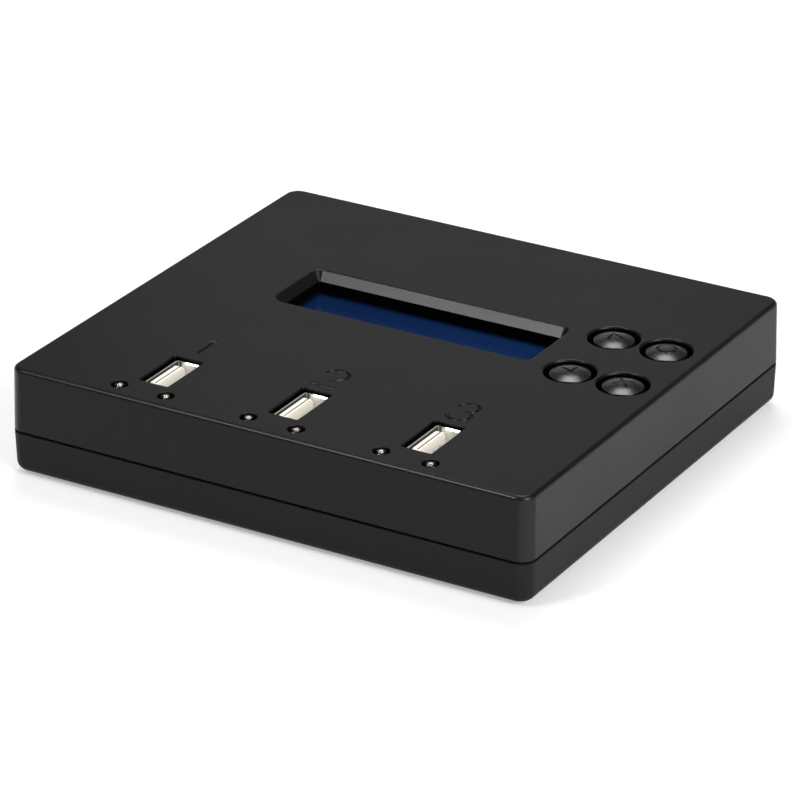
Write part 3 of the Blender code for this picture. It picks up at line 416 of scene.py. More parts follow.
def makePlastic(name, look):
    material, tree, shader = newMaterial(name)
    mottle = useGroup(tree, mottleGroup, Scale=55.0, Amount=1.0)
    lighter = tuple(min(1.0, channel * (1 + look["vary"])) for channel in look["color"])
    darkerToneAndShade = tuple(channel * (1 - look["vary"]) for channel in look["color"])
    shade = math(tree, "ADD", mottle, 0.5, True)
    # Painted shade: the walls inside the openings get a darker colour and less specular
    if "shadedOpenings" in look:
        inside = insideOpenings(tree, look["shadedOpenings"])
        darkerToneAndShade = tuple(channel * look["openingShadeShare"] for channel in look["color"])
        shade = math(tree, "SUBTRACT", math(tree, "ADD", math(tree, "MULTIPLY", mottle, 0.2),
                                            0.85), inside, True)
        link(tree, math(tree, "SUBTRACT", look["specular"],
                        math(tree, "MULTIPLY", inside,
                             look["specular"] * (1 - look["openingShadeShare"]))),
             shader.inputs["Specular IOR Level"])
    link(tree, blendColor(tree, shade, darkerToneAndShade, lighter), shader.inputs["Base Color"])
    rough = math(tree, "ADD", math(tree, "MULTIPLY", mottle, 0.16), look["rough"])
    if look["polish"] > 0:
        edge = useGroup(tree, edgeGroup, Gain=5.0)
        rough = math(tree, "SUBTRACT", rough, math(tree, "MULTIPLY", edge, look["polish"]), True)
    if "paintedGlow" in look:      # painted light: the pale plastic glows, so its shaded faces read bright
        shader.inputs["Emission Color"].default_value = (*look["color"], 1)
        shader.inputs["Emission Strength"].default_value = look["paintedGlow"]
    if "slopeCoat" in look:
        slope = useGroup(tree, slopeGroup, Gain=8.0)
        link(tree, math(tree, "MULTIPLY", slope, look["slopeCoat"]),
             shader.inputs["Coat Weight"])
        shader.inputs["Coat Roughness"].default_value = look["coatRough"]
    link(tree, rough, shader.inputs["Roughness"])
    shader.inputs["Specular IOR Level"].default_value = look.get("specular", 0.5)
    addBump(tree, shader, useGroup(tree, grainGroup, Scale=look["grain"], Pits=0.6),
            look["depth"])
    return material


metals = {
    # port steel: faces turned towards +X below a given height are darkened as painted shade
    "portSteel": {"color": (0.90, 0.89, 0.86), "rough": 0.32, "lines": 1400,
                  "depth": 0.0006, "shadedBelow": 22.8, "dullAndShadeShare": 0.10},
    "displaySteel": {"color": (0.10, 0.10, 0.105), "rough": 0.42, "lines": 900, "depth": 0.003},
    "screwSteel": {"color": (0.20, 0.20, 0.21), "rough": 0.34, "lines": 2000, "depth": 0.003},
    "inletBrass": {"color": (0.74, 0.67, 0.50), "rough": 0.26, "lines": 2000, "depth": 0.002},
    "canMetal": {"color": (0.70, 0.70, 0.70), "rough": 0.32, "lines": 1200, "depth": 0.003},
    # contact gold darkened towards brown: painted shade of the deep ports
    "contactGoldShaded": {"color": (0.42, 0.31, 0.17), "rough": 0.24, "lines": 2200, "depth": 0.002},
    "cupSilver": {"color": (0.93, 0.93, 0.92), "rough": 0.50, "lines": 2600, "depth": 0.001},
}


def makeMetal(name, look):
    material, tree, shader = newMaterial(name)
    shader.inputs["Metallic"].default_value = 1.0
    lines = useGroup(tree, drawnGroup, Scale=look["lines"], Stretch=0.05)
    mottle = useGroup(tree, mottleGroup, Scale=180.0, Amount=1.0)
    dullAndShade = tuple(channel * look.get("dullAndShadeShare", 0.90) for channel in look["color"])
    shade = math(tree, "ADD", mottle, 0.5, True)
    # Painted shade: steel faces turned towards +X below that height, the inner wall of the shell
    # by the tongue, get a darker colour
    if "shadedBelow" in look:
        spots, faces = [tree.nodes.new("ShaderNodeSeparateXYZ") for side in range(2)]
        link(tree, objectSpot(tree), spots.inputs[0])
        link(tree, tree.nodes.new("ShaderNodeNewGeometry").outputs["Normal"], faces.inputs[0])
        shade = math(tree, "MAXIMUM", math(tree, "LESS_THAN", faces.outputs["X"], 0.5),
                     math(tree, "GREATER_THAN", spots.outputs["Z"], look["shadedBelow"] * mm))
    link(tree, blendColor(tree, shade, dullAndShade, look["color"]), shader.inputs["Base Color"])
    spread = math(tree, "MULTIPLY", math(tree, "SUBTRACT", lines, 0.5), 0.12)
    link(tree, math(tree, "ADD", spread, look["rough"]), shader.inputs["Roughness"])
    addBump(tree, shader, lines, look["depth"])
    return material


resins = {
    "coolResin": {"color": (0.86, 1.0, 0.94), "rough": 0.03},
    "warmResin": {"color": (1.0, 0.87, 0.84), "rough": 0.03},
}


def makeResin(name, look):
    material, tree, shader = newMaterial(name)
    shader.inputs["Transmission Weight"].default_value = 1.0
    shader.inputs["IOR"].default_value = 1.52
    mottle = useGroup(tree, mottleGroup, Scale=400.0, Amount=1.0)
    deep = tuple(channel * 0.94 for channel in look["color"])
    link(tree, blendColor(tree, math(tree, "ADD", mottle, 0.5, True), deep, look["color"]),
         shader.inputs["Base Color"])
    link(tree, math(tree, "ADD", math(tree, "MULTIPLY", mottle, 0.03), look["rough"]),
         shader.inputs["Roughness"])
    return material


# Blue liquid crystal pane: two rows of sixteen faint character cells behind clear glass.
# It glows as a backlight, and the glow also fills the walls' shade with painted light; the colour
# is painted brighter towards its right end.
pane = {"middle": (-1.3, 9.9), "cells": (16, 2), "pitch": (3.55, 5.95), "cell": (2.96, 5.56),
        "ground": (0.0024, 0.0095, 0.037), "mark": (0.0026, 0.0103, 0.040),
        "border": (0.0007, 0.0040, 0.014), "area": (57.4, 14.6), "ends": (0.84, 1.18),
        "backlightAndShadeFill": 0.8}


def makePane():
    material, tree, shader = newMaterial("displayBlue")
    split = tree.nodes.new("ShaderNodeSeparateXYZ")
    link(tree, objectSpot(tree), split.inputs[0])
    inCells, inArea = [], []
    for axis in (0, 1):
        centred = math(tree, "SUBTRACT", split.outputs[axis], pane["middle"][axis] * mm)
        steps = math(tree, "DIVIDE", centred, pane["pitch"][axis] * mm)
        wrapped = math(tree, "FRACT", math(tree, "ADD", steps, pane["cells"][axis] / 2))
        off = math(tree, "ABSOLUTE", math(tree, "SUBTRACT", wrapped, 0.5))
        half = pane["cell"][axis] / pane["pitch"][axis] / 2
        inCells.append(math(tree, "LESS_THAN", off, half))
        reach = pane["pitch"][axis] * pane["cells"][axis] / 2 * mm
        inCells.append(math(tree, "LESS_THAN", math(tree, "ABSOLUTE", centred), reach))
        inArea.append(math(tree, "LESS_THAN", math(tree, "ABSOLUTE", centred),
                           pane["area"][axis] / 2 * mm))
    cells = math(tree, "MULTIPLY", math(tree, "MULTIPLY", inCells[0], inCells[1]),
                 math(tree, "MULTIPLY", inCells[2], inCells[3]))
    marked = blendColor(tree, cells, pane["ground"], pane["mark"])
    edged = tree.nodes.new("ShaderNodeMix")
    edged.data_type = "RGBA"
    link(tree, math(tree, "MULTIPLY", inArea[0], inArea[1]), edged.inputs["Factor"])
    edged.inputs[6].default_value = (*pane["border"], 1)
    link(tree, marked, edged.inputs[7])
    # Painted light: colour and glow rise from the left end of the area to its right end
    along = tree.nodes.new("ShaderNodeMapRange")
    half = pane["area"][0] / 2
    along.inputs["From Min"].default_value = (pane["middle"][0] - half) * mm
    along.inputs["From Max"].default_value = (pane["middle"][0] + half) * mm
    along.inputs["To Min"].default_value, along.inputs["To Max"].default_value = pane["ends"]
    link(tree, split.outputs["X"], along.inputs["Value"])
    paintedRise = tree.nodes.new("ShaderNodeVectorMath")
    paintedRise.operation = "SCALE"
    link(tree, edged.outputs[2], paintedRise.inputs[0])
    link(tree, along.outputs["Result"], paintedRise.inputs["Scale"])
    link(tree, paintedRise.outputs[0], shader.inputs["Base Color"])
    # The glow stands for a backlight and also fills shade with painted light
    link(tree, paintedRise.outputs[0], shader.inputs["Emission Color"])
    shader.inputs["Emission Strength"].default_value = pane["backlightAndShadeFill"]
    shader.inputs["Specular IOR Level"].default_value = 0.03
    mottle = useGroup(tree, mottleGroup, Scale=90.0, Amount=0.04)
    link(tree, math(tree, "ADD", mottle, 0.12), shader.inputs["Roughness"])
    return material


# Green solder mask over copper tracks
def makeBoard():
    material, tree, shader = newMaterial("boardGreen")
    cells = tree.nodes.new("ShaderNodeTexVoronoi")
    cells.distance = "CHEBYCHEV"
    cells.inputs["Scale"].default_value = 420.0
    link(tree, objectSpot(tree), cells.inputs["Vector"])
    track = math(tree, "LESS_THAN", cells.outputs["Distance"], 0.24)
    link(tree, blendColor(tree, track, (0.012, 0.085, 0.030), (0.030, 0.150, 0.055)),
         shader.inputs["Base Color"])
    mottle = useGroup(tree, mottleGroup, Scale=120.0, Amount=0.2)
    link(tree, math(tree, "ADD", mottle, 0.40), shader.inputs["Roughness"])
    addBump(tree, shader, track, 0.03)
    return material


finishes = {name: makePlastic(name, look) for name, look in plastics.items()}
finishes.update({name: makeMetal(name, look) for name, look in metals.items()})
finishes.update({name: makeResin(name, look) for name, look in resins.items()})
finishes["displayBlue"] = makePane()
finishes["boardGreen"] = makeBoard()
print("finishes:", len(finishes))


# Ways of making and placing forms, in millimetres
def keepMesh(name, bm):
    mesh = bpy.data.meshes.new(name)
    bm.to_mesh(mesh)
    bm.free()
    form = bpy.data.objects.new(name, mesh)
    scene.collection.objects.link(form)
    return form


# Moves a vertex of one rounded outline to the same spot of another outline.
# An outline is half its length, half its width and its corner radius.
def moveOutline(vert, old, new):
    for axis in (0, 1):
        place = vert.co[axis]
        share = (abs(place) - (old[axis] - old[2])) / old[2]
        reach = new[axis] - new[2] + share * new[2]
        vert.co[axis] = reach if place > 0 else -reach


# An upright form that passes through outlines at rising heights
def stackForm(levels, segments=8):
    lowZ, low = levels[0][0], levels[0][1:]
    bm = bmesh.new()
    bmesh.ops.create_cube(bm, size=1)
    bmesh.ops.scale(bm, vec=(2 * low[0], 2 * low[1], 1), verts=bm.verts)
    upright = [edge for edge in bm.edges if edge.verts[0].co.z * edge.verts[1].co.z < 0]
    bmesh.ops.bevel(bm, geom=upright, offset=low[2], segments=segments, profile=0.5,
                    affect="EDGES", material=-1)
    bm.faces.ensure_lookup_table()
    top = max(bm.faces, key=lambda face: face.calc_center_median().z)
    for vert in bm.verts:
        vert.co.z = levels[1][0] if vert.co.z > 0 else lowZ
    for vert in top.verts:
        moveOutline(vert, low, levels[1][1:])
    for (_, *old), (z, *new) in zip(levels[1:], levels[2:]):
        grown = bmesh.ops.extrude_face_region(bm, geom=[top])["geom"]
        bmesh.ops.delete(bm, geom=[top], context="FACES_ONLY")
        top = [item for item in grown if isinstance(item, bmesh.types.BMFace)][0]
        for vert in top.verts:
            vert.co.z = z
            moveOutline(vert, old, new)
    bmesh.ops.recalc_face_normals(bm, faces=bm.faces)
    return bm


def straightForm(halfX, halfY, lowZ, highZ, corner=0.3, segments=6):
    return stackForm([(lowZ, halfX, halfY, corner), (highZ, halfX, halfY, corner)], segments)


# A form turned about Z from radius and height pairs that start and end on the axis
def turnedForm(profile, steps=48):
    bm = bmesh.new()
    verts = [bm.verts.new((radius, 0, z)) for radius, z in profile]
    edges = [bm.edges.new(pair) for pair in zip(verts, verts[1:])]
    bmesh.ops.spin(bm, geom=verts + edges, cent=(0, 0, 0), axis=(0, 0, 1), angle=2 * pi,
                   steps=steps, use_merge=True)
    bmesh.ops.remove_doubles(bm, verts=bm.verts, dist=0.0005)
    bmesh.ops.recalc_face_normals(bm, faces=bm.faces)
    return bm


def rodForm(radius, lowZ, highZ, steps=40):
    bm = bmesh.new()
    bmesh.ops.create_cone(bm, cap_ends=True, segments=steps, radius1=radius, radius2=radius,
                          depth=highZ - lowZ)
    bmesh.ops.translate(bm, vec=(0, 0, (lowZ + highZ) / 2), verts=bm.verts)
    return bm


# Points of an arc in the plane of a profile, angles in degrees
def arc(middle, radius, start, end, count):
    turns = [radians(start + (end - start) * i / count) for i in range(count + 1)]
    return [(middle[0] + radius * cos(turn), middle[1] + radius * sin(turn)) for turn in turns]


# A round-ended groove tool that follows points
def strokeForms(points, radius, closed=False, smooth=True):
    data = bpy.data.curves.new("stroke", "CURVE")
    data.dimensions = "3D"
    data.bevel_depth = radius
    data.bevel_resolution = 4
    data.resolution_u = 6
    data.use_fill_caps = not closed
    spline = data.splines.new("BEZIER")
    spline.bezier_points.add(len(points) - 1)
    for knot, point in zip(spline.bezier_points, points):
        knot.co = point
        knot.handle_left_type = knot.handle_right_type = "AUTO" if smooth else "VECTOR"
    spline.use_cyclic_u = closed
    path = bpy.data.objects.new("stroke", data)
    scene.collection.objects.link(path)
    graph = bpy.context.evaluated_depsgraph_get()
    mesh = bpy.data.meshes.new_from_object(path.evaluated_get(graph))
    bpy.data.objects.remove(path)
    bm = bmesh.new()
    bm.from_mesh(mesh)
    bpy.data.meshes.remove(mesh)
    bmesh.ops.remove_doubles(bm, verts=bm.verts, dist=0.001)
    bmesh.ops.recalc_face_normals(bm, faces=bm.faces)
    forms = [keepMesh("groove", bm)]
    for point in () if closed else (points[0], points[-1]):
        ball = bmesh.new()
        bmesh.ops.create_uvsphere(ball, u_segments=12, v_segments=8, radius=radius)
        bmesh.ops.translate(ball, vec=point, verts=ball.verts)
        forms.append(keepMesh("grooveEnd", ball))
    return forms


def movedForm(bm, place=(0, 0, 0), turn=None):
    if turn:
        bmesh.ops.rotate(bm, cent=(0, 0, 0), matrix=Matrix.Rotation(radians(turn[0]), 3, turn[1]),
                         verts=bm.verts)
    bmesh.ops.translate(bm, vec=place, verts=bm.verts)
    return keepMesh("tool", bm)


# Joins tools to a form, or cuts them from it, in one exact Boolean
def carve(form, tools, operation):
    bench = bpy.data.collections.new("bench")
    scene.collection.children.link(bench)
    for item in tools:
        bench.objects.link(item)
    step = form.modifiers.new("carve", "BOOLEAN")
    step.operation = operation
    step.solver = "EXACT"
    step.operand_type = "COLLECTION"
    step.collection = bench
    graph = bpy.context.evaluated_depsgraph_get()
    mesh = bpy.data.meshes.new_from_object(form.evaluated_get(graph))
    form.modifiers.clear()
    old = form.data
    form.data = mesh
    bpy.data.meshes.remove(old)
    for item in tools:
        data = item.data
        bpy.data.objects.remove(item)
        bpy.data.meshes.remove(data)
    bpy.data.collections.remove(bench)


sharpFrom = 32      # degrees between two faces, past which their edge stays sharp


def keepPiece(form, name, finish, body, replaced):
    form.name = name
    mesh = form.data
    mesh.name = name
    mesh.transform(Matrix.Scale(mm, 4))
    mesh.materials.clear()
    mesh.materials.append(finishes[finish])
    for face in mesh.polygons:
        face.material_index = 0
        face.use_smooth = True
    mesh.set_sharp_from_angle(angle=radians(sharpFrom))
    level = form.modifiers.new("flatFaces", "WEIGHTED_NORMAL")
    level.keep_sharp = True
    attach(form, body)
    if replaced:
        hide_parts(*replaced)
    return form


corners = ((-1, -1), (1, -1), (1, 1), (-1, 1))


# The four places at the same distances from a middle
def fourPlaces(reach, middle=(0, 0)):
    return [(middle[0] + sideX * reach[0], middle[1] + sideY * reach[1], 0)
            for sideX, sideY in corners]


# Case: outline, parting line, walls and edges of both halves
case = {
    "half": (60.0, 55.35), "corner": 3.3, "wall": 2.0, "cornerSteps": 14,
    "topZ": 23.7, "plateZ": 21.7, "skirtZ": 10.0, "topRound": 1.0, "topDraft": 1.0,
    "underZ": 0.7, "floorZ": 2.7, "rimZ": 9.38, "bottomRound": 2.0, "bottomDraft": 1.5,
    "lipInset": 1.1, "lipZ": 10.7, "gap": 0.3, "seam": 0.05, "roundSteps": 8,
}
opening = {
    "window": (-1.3, 9.9), "windowHalf": (30.7, 9.35, 2.2), "paneHalf": (29.1, 7.75, 0.4),
    "bevelDepth": 2.0, "edgeRound": 0.28, "collarZ": 19.3, "collarWall": 1.4,
    "wellRadius": 5.5, "wellDepth": 2.6, "holeRadius": 4.7, "ledgeZ": 19.9, "wellRound": 0.42,
    "portHalf": (3.5, 6.85, 0.4), "lightRadius": 1.8, "smallRound": 0.14, "over": 0.6,
}
boss = {"place": (53.0, 48.35), "meetZ": 7.7, "upper": 3.3, "lower": 4.2, "hole": 1.8,
        "pilotTop": 15.3, "counterbore": 3.0, "counterboreZ": 3.3}
footHole = {"place": (44.0, 39.35), "radius": 4.8, "topZ": 1.5}
boardPost = {"place": (50.3, 30.0), "radius": 2.9, "topZ": 5.7, "pilot": 1.5, "pilotZ": 3.6}
displayPost = {"place": (31.9, 13.55), "radius": 2.0, "lowZ": 12.5, "pilot": 1.3,
               "pilotTop": 16.8}
rib = {"width": 1.2, "height": 2.0, "frontY": 25.95, "backY": 48.35, "x": 19.8, "y": 18.27,
       "reach": 43.8}

keyPlaces = {"up": (38.9, 19.4), "confirm": (50.9, 19.4), "down": (38.9, 0.4),
             "cancel": (50.9, 0.4)}
portX = (-30.3, 0.0, 30.3)
portY = -39.95
lightY = -50.55
lightPlaces = [(x + side * 5.5, lightY) for x in portX for side in (-1, 1)]
inlet = {"x": -40.0, "z": 15.4, "hole": 4.1}


def outline(inset, radius=None):
    radius = case["corner"] - inset if radius is None else radius
    return case["half"][0] - inset, case["half"][1] - inset, max(radius, 0.3)


def upperInset(z):
    return (z - case["skirtZ"]) * tan(radians(case["topDraft"]))


def lowerInset(z):
    return (case["rimZ"] - z) * tan(radians(case["bottomDraft"]))


# Levels that widen a hole's outline into a rounded edge at the top face
def flaredLevels(half, lowZ, radius):
    topZ, steps = case["topZ"], 5
    levels = [(lowZ, *half)]
    for i in range(steps + 1):
        turn = radians(78 * i / steps)
        out = radius * (1 - cos(turn))
        levels.append((topZ - radius + radius * sin(turn), half[0] + out, half[1] + out,
                       half[2] + out))
    z, *last = levels[-1]
    return levels + [(topZ + opening["over"], *last)]


def wellTool(place):
    topZ, edge = case["topZ"], opening["wellRound"]
    rim = arc((opening["wellRadius"] + edge, topZ - edge), edge, 180, 102, 6)
    ledge = topZ - opening["wellDepth"]
    over = topZ + opening["over"]
    profile = ([(0, opening["ledgeZ"] - 0.5), (opening["holeRadius"], opening["ledgeZ"] - 0.5),
                (opening["holeRadius"], ledge - 0.15), (opening["holeRadius"] + 0.15, ledge),
                (opening["wellRadius"] - 0.2, ledge), (opening["wellRadius"], ledge + 0.2)]
               + rim + [(rim[-1][0], over), (0, over)])
    return movedForm(turnedForm(profile, 72), (*place, 0))


def holeTool(place, radius, lowZ):
    topZ, edge = case["topZ"], opening["smallRound"]
    rim = arc((radius + edge, topZ - edge), edge, 180, 102, 4)
    over = topZ + opening["over"]
    profile = [(0, lowZ), (radius, lowZ)] + rim + [(rim[-1][0], over), (0, over)]
    return movedForm(turnedForm(profile, 40), (*place, 0))


def windowTools():
    topZ = case["topZ"]
    outer, inner = opening["windowHalf"], opening["paneHalf"]
    depth, trim = opening["bevelDepth"], opening["edgeRound"]
    slope = (outer[0] - inner[0]) / depth
    rise = acos(slope / (1 + slope * slope) ** 0.5)      # slope of the bevel
    radius = trim / tan(rise / 2)
    levels = [(opening["collarZ"] - 0.5, *inner), (topZ - depth, *inner)]
    for i in range(6):
        turn = rise * (1 - i / 5.6)
        out = trim - radius * sin(turn)
        corner = outer[2] + out * (outer[2] - inner[2]) / (outer[0] - inner[0])
        levels.append((topZ - radius + radius * cos(turn), outer[0] + out, outer[1] + out,
                       corner))
    z, *last = levels[-1]
    levels.append((topZ + opening["over"], *last))
    return [movedForm(stackForm(levels, 10), (*opening["window"], 0))]


# Grooved figures beside the ports, drawn as strokes of X and Y
figures = {
    "one": [((-31.4, -24.1), (-30.9, -23.6), (-30.4, -23.1)),
            ((-30.4, -23.1), (-30.35, -26.4), (-30.3, -29.7))],
    "two": [((-3.05, -24.7), (-2.4, -23.3), (-0.7, -22.75), (1.3, -23.3), (2.05, -24.9),
             (1.5, -26.4), (-0.6, -28.3), (-3.2, -30.5)),
            ((-3.2, -30.55), (-0.6, -30.6), (2.0, -30.6))],
    "three": [((27.6, -25.0), (28.4, -23.6), (30.0, -23.2), (31.5, -23.7), (32.1, -25.1),
               (31.5, -26.5), (30.1, -27.0)),
              ((30.1, -27.0), (31.7, -27.5), (32.4, -29.0), (31.7, -30.5), (30.0, -31.1),
               (28.3, -30.7), (27.5, -29.5))],
}
figureRadius = 0.38


def figureTools():
    tools = []
    for strokes in figures.values():
        for stroke in strokes:
            points = [(x, y, case["topZ"]) for x, y in stroke]
            tools += strokeForms(points, figureRadius, smooth=len(stroke) > 3)
    return tools


def inletTool(z, radius):
    return movedForm(rodForm(radius, -6, 6, 48), (inlet["x"], case["half"][1], z), (90, "X"))


def makeTopCover():
    topZ, skirtZ, edge, steps = (case[key] for key in ("topZ", "skirtZ", "topRound",
                                                       "roundSteps"))
    seam = case["seam"]
    levels = [(skirtZ, *outline(seam)), (skirtZ + seam, *outline(0))]
    for i in range(steps + 1):
        turn = radians(90 * i / steps)
        z = topZ - edge + edge * sin(turn)
        inset = edge * (1 - cos(turn))
        levels.append((z, *outline(upperInset(min(z, topZ - edge)) + inset,
                                   case["corner"] - inset)))
    cover = keepMesh("topCover", stackForm(levels, case["cornerSteps"]))

    wall, plateZ, gap = case["wall"], case["plateZ"], case["gap"]
    lowZ = skirtZ - 0.5
    inside = stackForm([(lowZ, *outline(upperInset(lowZ) + wall, 1.3)),
                        (plateZ, *outline(upperInset(plateZ) + wall, 1.3))], 8)
    inset = case["lipInset"] - gap
    rebate = stackForm([(lowZ, *outline(upperInset(lowZ) + inset, case["corner"] - inset)),
                        (case["lipZ"] + gap, *outline(upperInset(11) + inset,
                                                      case["corner"] - inset))], 8)
    carve(cover, [movedForm(inside), movedForm(rebate)], "DIFFERENCE")

    joinZ = plateZ + 0.4
    inner = opening["paneHalf"]
    collar = straightForm(inner[0] + opening["collarWall"], inner[1] + opening["collarWall"],
                          opening["collarZ"], joinZ, 1.8)
    added = [movedForm(collar, (*opening["window"], 0))]
    for place in keyPlaces.values():
        cup = rodForm(opening["wellRadius"] + 1.2, opening["ledgeZ"], joinZ, 72)
        added.append(movedForm(cup, (*place, 0)))
    posts = list(zip(fourPlaces(boss["place"]),
                     fourPlaces(displayPost["place"], opening["window"])))
    for bossPlace, postPlace in posts:
        added.append(movedForm(rodForm(boss["upper"], boss["meetZ"] + gap, joinZ), bossPlace))
        added.append(movedForm(rodForm(displayPost["radius"], displayPost["lowZ"], joinZ),
                               postPlace))
    for sx in (-1, 1):
        bar = straightForm(rib["width"] / 2, (rib["backY"] - rib["frontY"]) / 2,
                           plateZ - rib["height"], joinZ, 0.2)
        added.append(movedForm(bar, (sx * rib["x"], (rib["backY"] + rib["frontY"]) / 2, 0)))
    carve(cover, added, "UNION")

    cuts = windowTools() + figureTools() + [inletTool(inlet["z"], inlet["hole"])]
    cuts += [wellTool(place) for place in keyPlaces.values()]
    for x in portX:
        levels = flaredLevels(opening["portHalf"], plateZ - 0.5, opening["smallRound"])
        cuts.append(movedForm(stackForm(levels, 5), (x, portY, 0)))
    cuts += [holeTool(place, opening["lightRadius"], plateZ - 0.5) for place in lightPlaces]
    for bossPlace, postPlace in posts:
        cuts.append(movedForm(rodForm(boss["hole"], boss["meetZ"] - 0.5, boss["pilotTop"]),
                              bossPlace))
        cuts.append(movedForm(rodForm(displayPost["pilot"], displayPost["lowZ"] - 0.5,
                                      displayPost["pilotTop"]), postPlace))
    carve(cover, cuts, "DIFFERENCE")
    return keepPiece(cover, "topCover", "topShellPlastic", "case",
                     ["top_shell"])


def makeBottomTray():
    underZ, rimZ, edge, steps = (case[key] for key in ("underZ", "rimZ", "bottomRound",
                                                       "roundSteps"))
    levels = []
    for i in range(steps + 1):
        turn = radians(90 * i / steps)
        z = underZ + edge * (1 - cos(turn))
        inset = edge * (1 - sin(turn))
        levels.append((z, *outline(lowerInset(underZ + edge) + inset, case["corner"] - inset)))
    levels += [(rimZ - case["seam"], *outline(0)), (rimZ, *outline(case["seam"]))]
    tray = keepMesh("bottomTray", stackForm(levels, case["cornerSteps"]))

    floorZ, wall = case["floorZ"], case["wall"]
    lip = straightForm(*[half - case["lipInset"] for half in case["half"]], floorZ,
                       case["lipZ"], case["corner"] - case["lipInset"], 8)
    carve(tray, [movedForm(lip)], "UNION")
    highZ = case["lipZ"] + 0.5
    inside = stackForm([(floorZ, *outline(lowerInset(floorZ) + wall, 1.3)),
                        (highZ, *outline(lowerInset(highZ) + wall, 1.3))], 8)
    carve(tray, [movedForm(inside)], "DIFFERENCE")

    joinZ = floorZ - 0.4
    added = []
    bossPlaces, postPlaces, footPlaces = [fourPlaces(item["place"])
                                          for item in (boss, boardPost, footHole)]
    for bossPlace, postPlace in zip(bossPlaces, postPlaces):
        added.append(movedForm(rodForm(boss["lower"], joinZ, boss["meetZ"]), bossPlace))
        added.append(movedForm(rodForm(boardPost["radius"], joinZ, boardPost["topZ"]),
                               postPlace))
    for sy in (-1, 1):
        bar = straightForm(rib["reach"], rib["width"] / 2, joinZ, floorZ + rib["height"], 0.2)
        added.append(movedForm(bar, (0, sy * rib["y"], 0)))
    carve(tray, added, "UNION")

    cuts = []
    lowZ = underZ - 0.5
    sink, lead = boss["counterbore"], 0.2
    profile = [(0, lowZ), (sink + lead, lowZ), (sink + lead, underZ), (sink, underZ + lead),
               (sink, boss["counterboreZ"]), (0, boss["counterboreZ"])]
    for bossPlace, postPlace, footPlace in zip(bossPlaces, postPlaces, footPlaces):
        cuts.append(movedForm(turnedForm(profile, 48), bossPlace))
        cuts.append(movedForm(rodForm(boss["hole"], lowZ, boss["meetZ"] + 0.5), bossPlace))
        cuts.append(movedForm(rodForm(footHole["radius"], lowZ, footHole["topZ"], 56),
                              footPlace))
        cuts.append(movedForm(rodForm(boardPost["pilot"], boardPost["pilotZ"],
                                      boardPost["topZ"] + 0.5), postPlace))
    carve(tray, cuts, "DIFFERENCE")
    return keepPiece(tray, "bottomTray", "bottomShellPlastic", "case",
                     ["bottom_shell"])


makeTopCover()
makeBottomTray()
print("case: top cover and bottom tray")


# Keys: domed caps with a grooved symbol each, which press down in their wells
key = {
    "radius": 4.3, "shoulderZ": 23.2, "crown": 0.9, "shoulderRound": 0.22, "skirt": 4.4,
    "flange": 5.3, "flangeTopZ": 19.6, "flangeLowZ": 18.6, "skin": 1.1, "hub": 2.7,
    "socket": 2.0, "socketZ": 20.8, "groove": 0.29, "sink": 0.10,
    "arm": 2.7, "opening": 64, "ring": 1.9, "cross": 2.3, "symbolPlace": (-0.1, 0.35),
}
keyTurns = {"up": 34, "confirm": 0, "down": 34, "cancel": -3}


def crownRadius():
    return (key["radius"] ** 2 + key["crown"] ** 2) / (2 * key["crown"])


def crownZ(x, y):
    radius = crownRadius()
    drop = radius - (radius ** 2 - x * x - y * y) ** 0.5
    return key["shoulderZ"] + key["crown"] - drop


def capProfile():
    radius = crownRadius()
    middleZ = key["shoulderZ"] + key["crown"] - radius
    limit = acos((key["radius"] - key["shoulderRound"]) / radius) * 180 / pi
    crown = [(max(r, 0), z) for r, z in arc((0, middleZ), radius, 90, limit, 16)]
    crown[0] = (0, crown[0][1])
    edge = arc((key["radius"] - key["shoulderRound"], crown[-1][1] - key["shoulderRound"]),
               key["shoulderRound"], 70, 0, 5)
    return crown + edge + [
        (key["skirt"], key["flangeTopZ"]), (key["flange"], key["flangeTopZ"]),
        (key["flange"], key["flangeLowZ"]), (key["skirt"] - key["skin"], key["flangeLowZ"]),
        (key["skirt"] - key["skin"], key["shoulderZ"] - key["skin"]),
        (key["hub"], key["shoulderZ"] - key["skin"]), (key["hub"], key["flangeLowZ"]),
        (key["socket"], key["flangeLowZ"]), (key["socket"], key["socketZ"]),
        (0, key["socketZ"])]


def symbolStrokes(name):
    arm, half = key["arm"], radians(key["opening"] / 2)
    if name in ("up", "down"):
        way = 1 if name == "up" else -1
        tip = (0, way * arm * cos(half) / 2)
        return [[(side * arm * sin(half), tip[1] - way * arm * cos(half)), tip]
                for side in (-1, 1)]
    if name == "cancel":
        reach = key["cross"] * sin(pi / 4)
        return [[(-reach, -reach), (reach, reach)], [(-reach, reach), (reach, -reach)]]
    return [[(key["ring"] * cos(i * pi / 8), key["ring"] * sin(i * pi / 8)) for i in range(16)]]


def makeKey(name, place):
    cap = movedForm(turnedForm(capProfile(), 96), (*place, 0))
    turn = Matrix.Rotation(radians(keyTurns[name]), 2)
    tools = []
    for stroke in symbolStrokes(name):
        closed = name == "confirm"
        if not closed:
            (x0, y0), (x1, y1) = stroke
            stroke = [(x0 + (x1 - x0) * i / 5, y0 + (y1 - y0) * i / 5) for i in range(6)]
        points = []
        for x, y in stroke:
            x, y = turn @ Vector((x, y)) + Vector(key["symbolPlace"])
            points.append((place[0] + x, place[1] + y, crownZ(x, y) - key["sink"]))
        tools += strokeForms(points, key["groove"], closed)
    carve(cap, tools, "DIFFERENCE")
    keepPiece(cap, name + "Key", "keyPlastic", name + "_key",
              [name + "_key_cap"])


for keyName, keyPlace in keyPlaces.items():
    makeKey(keyName, keyPlace)
print("keys:", len(keyPlaces))


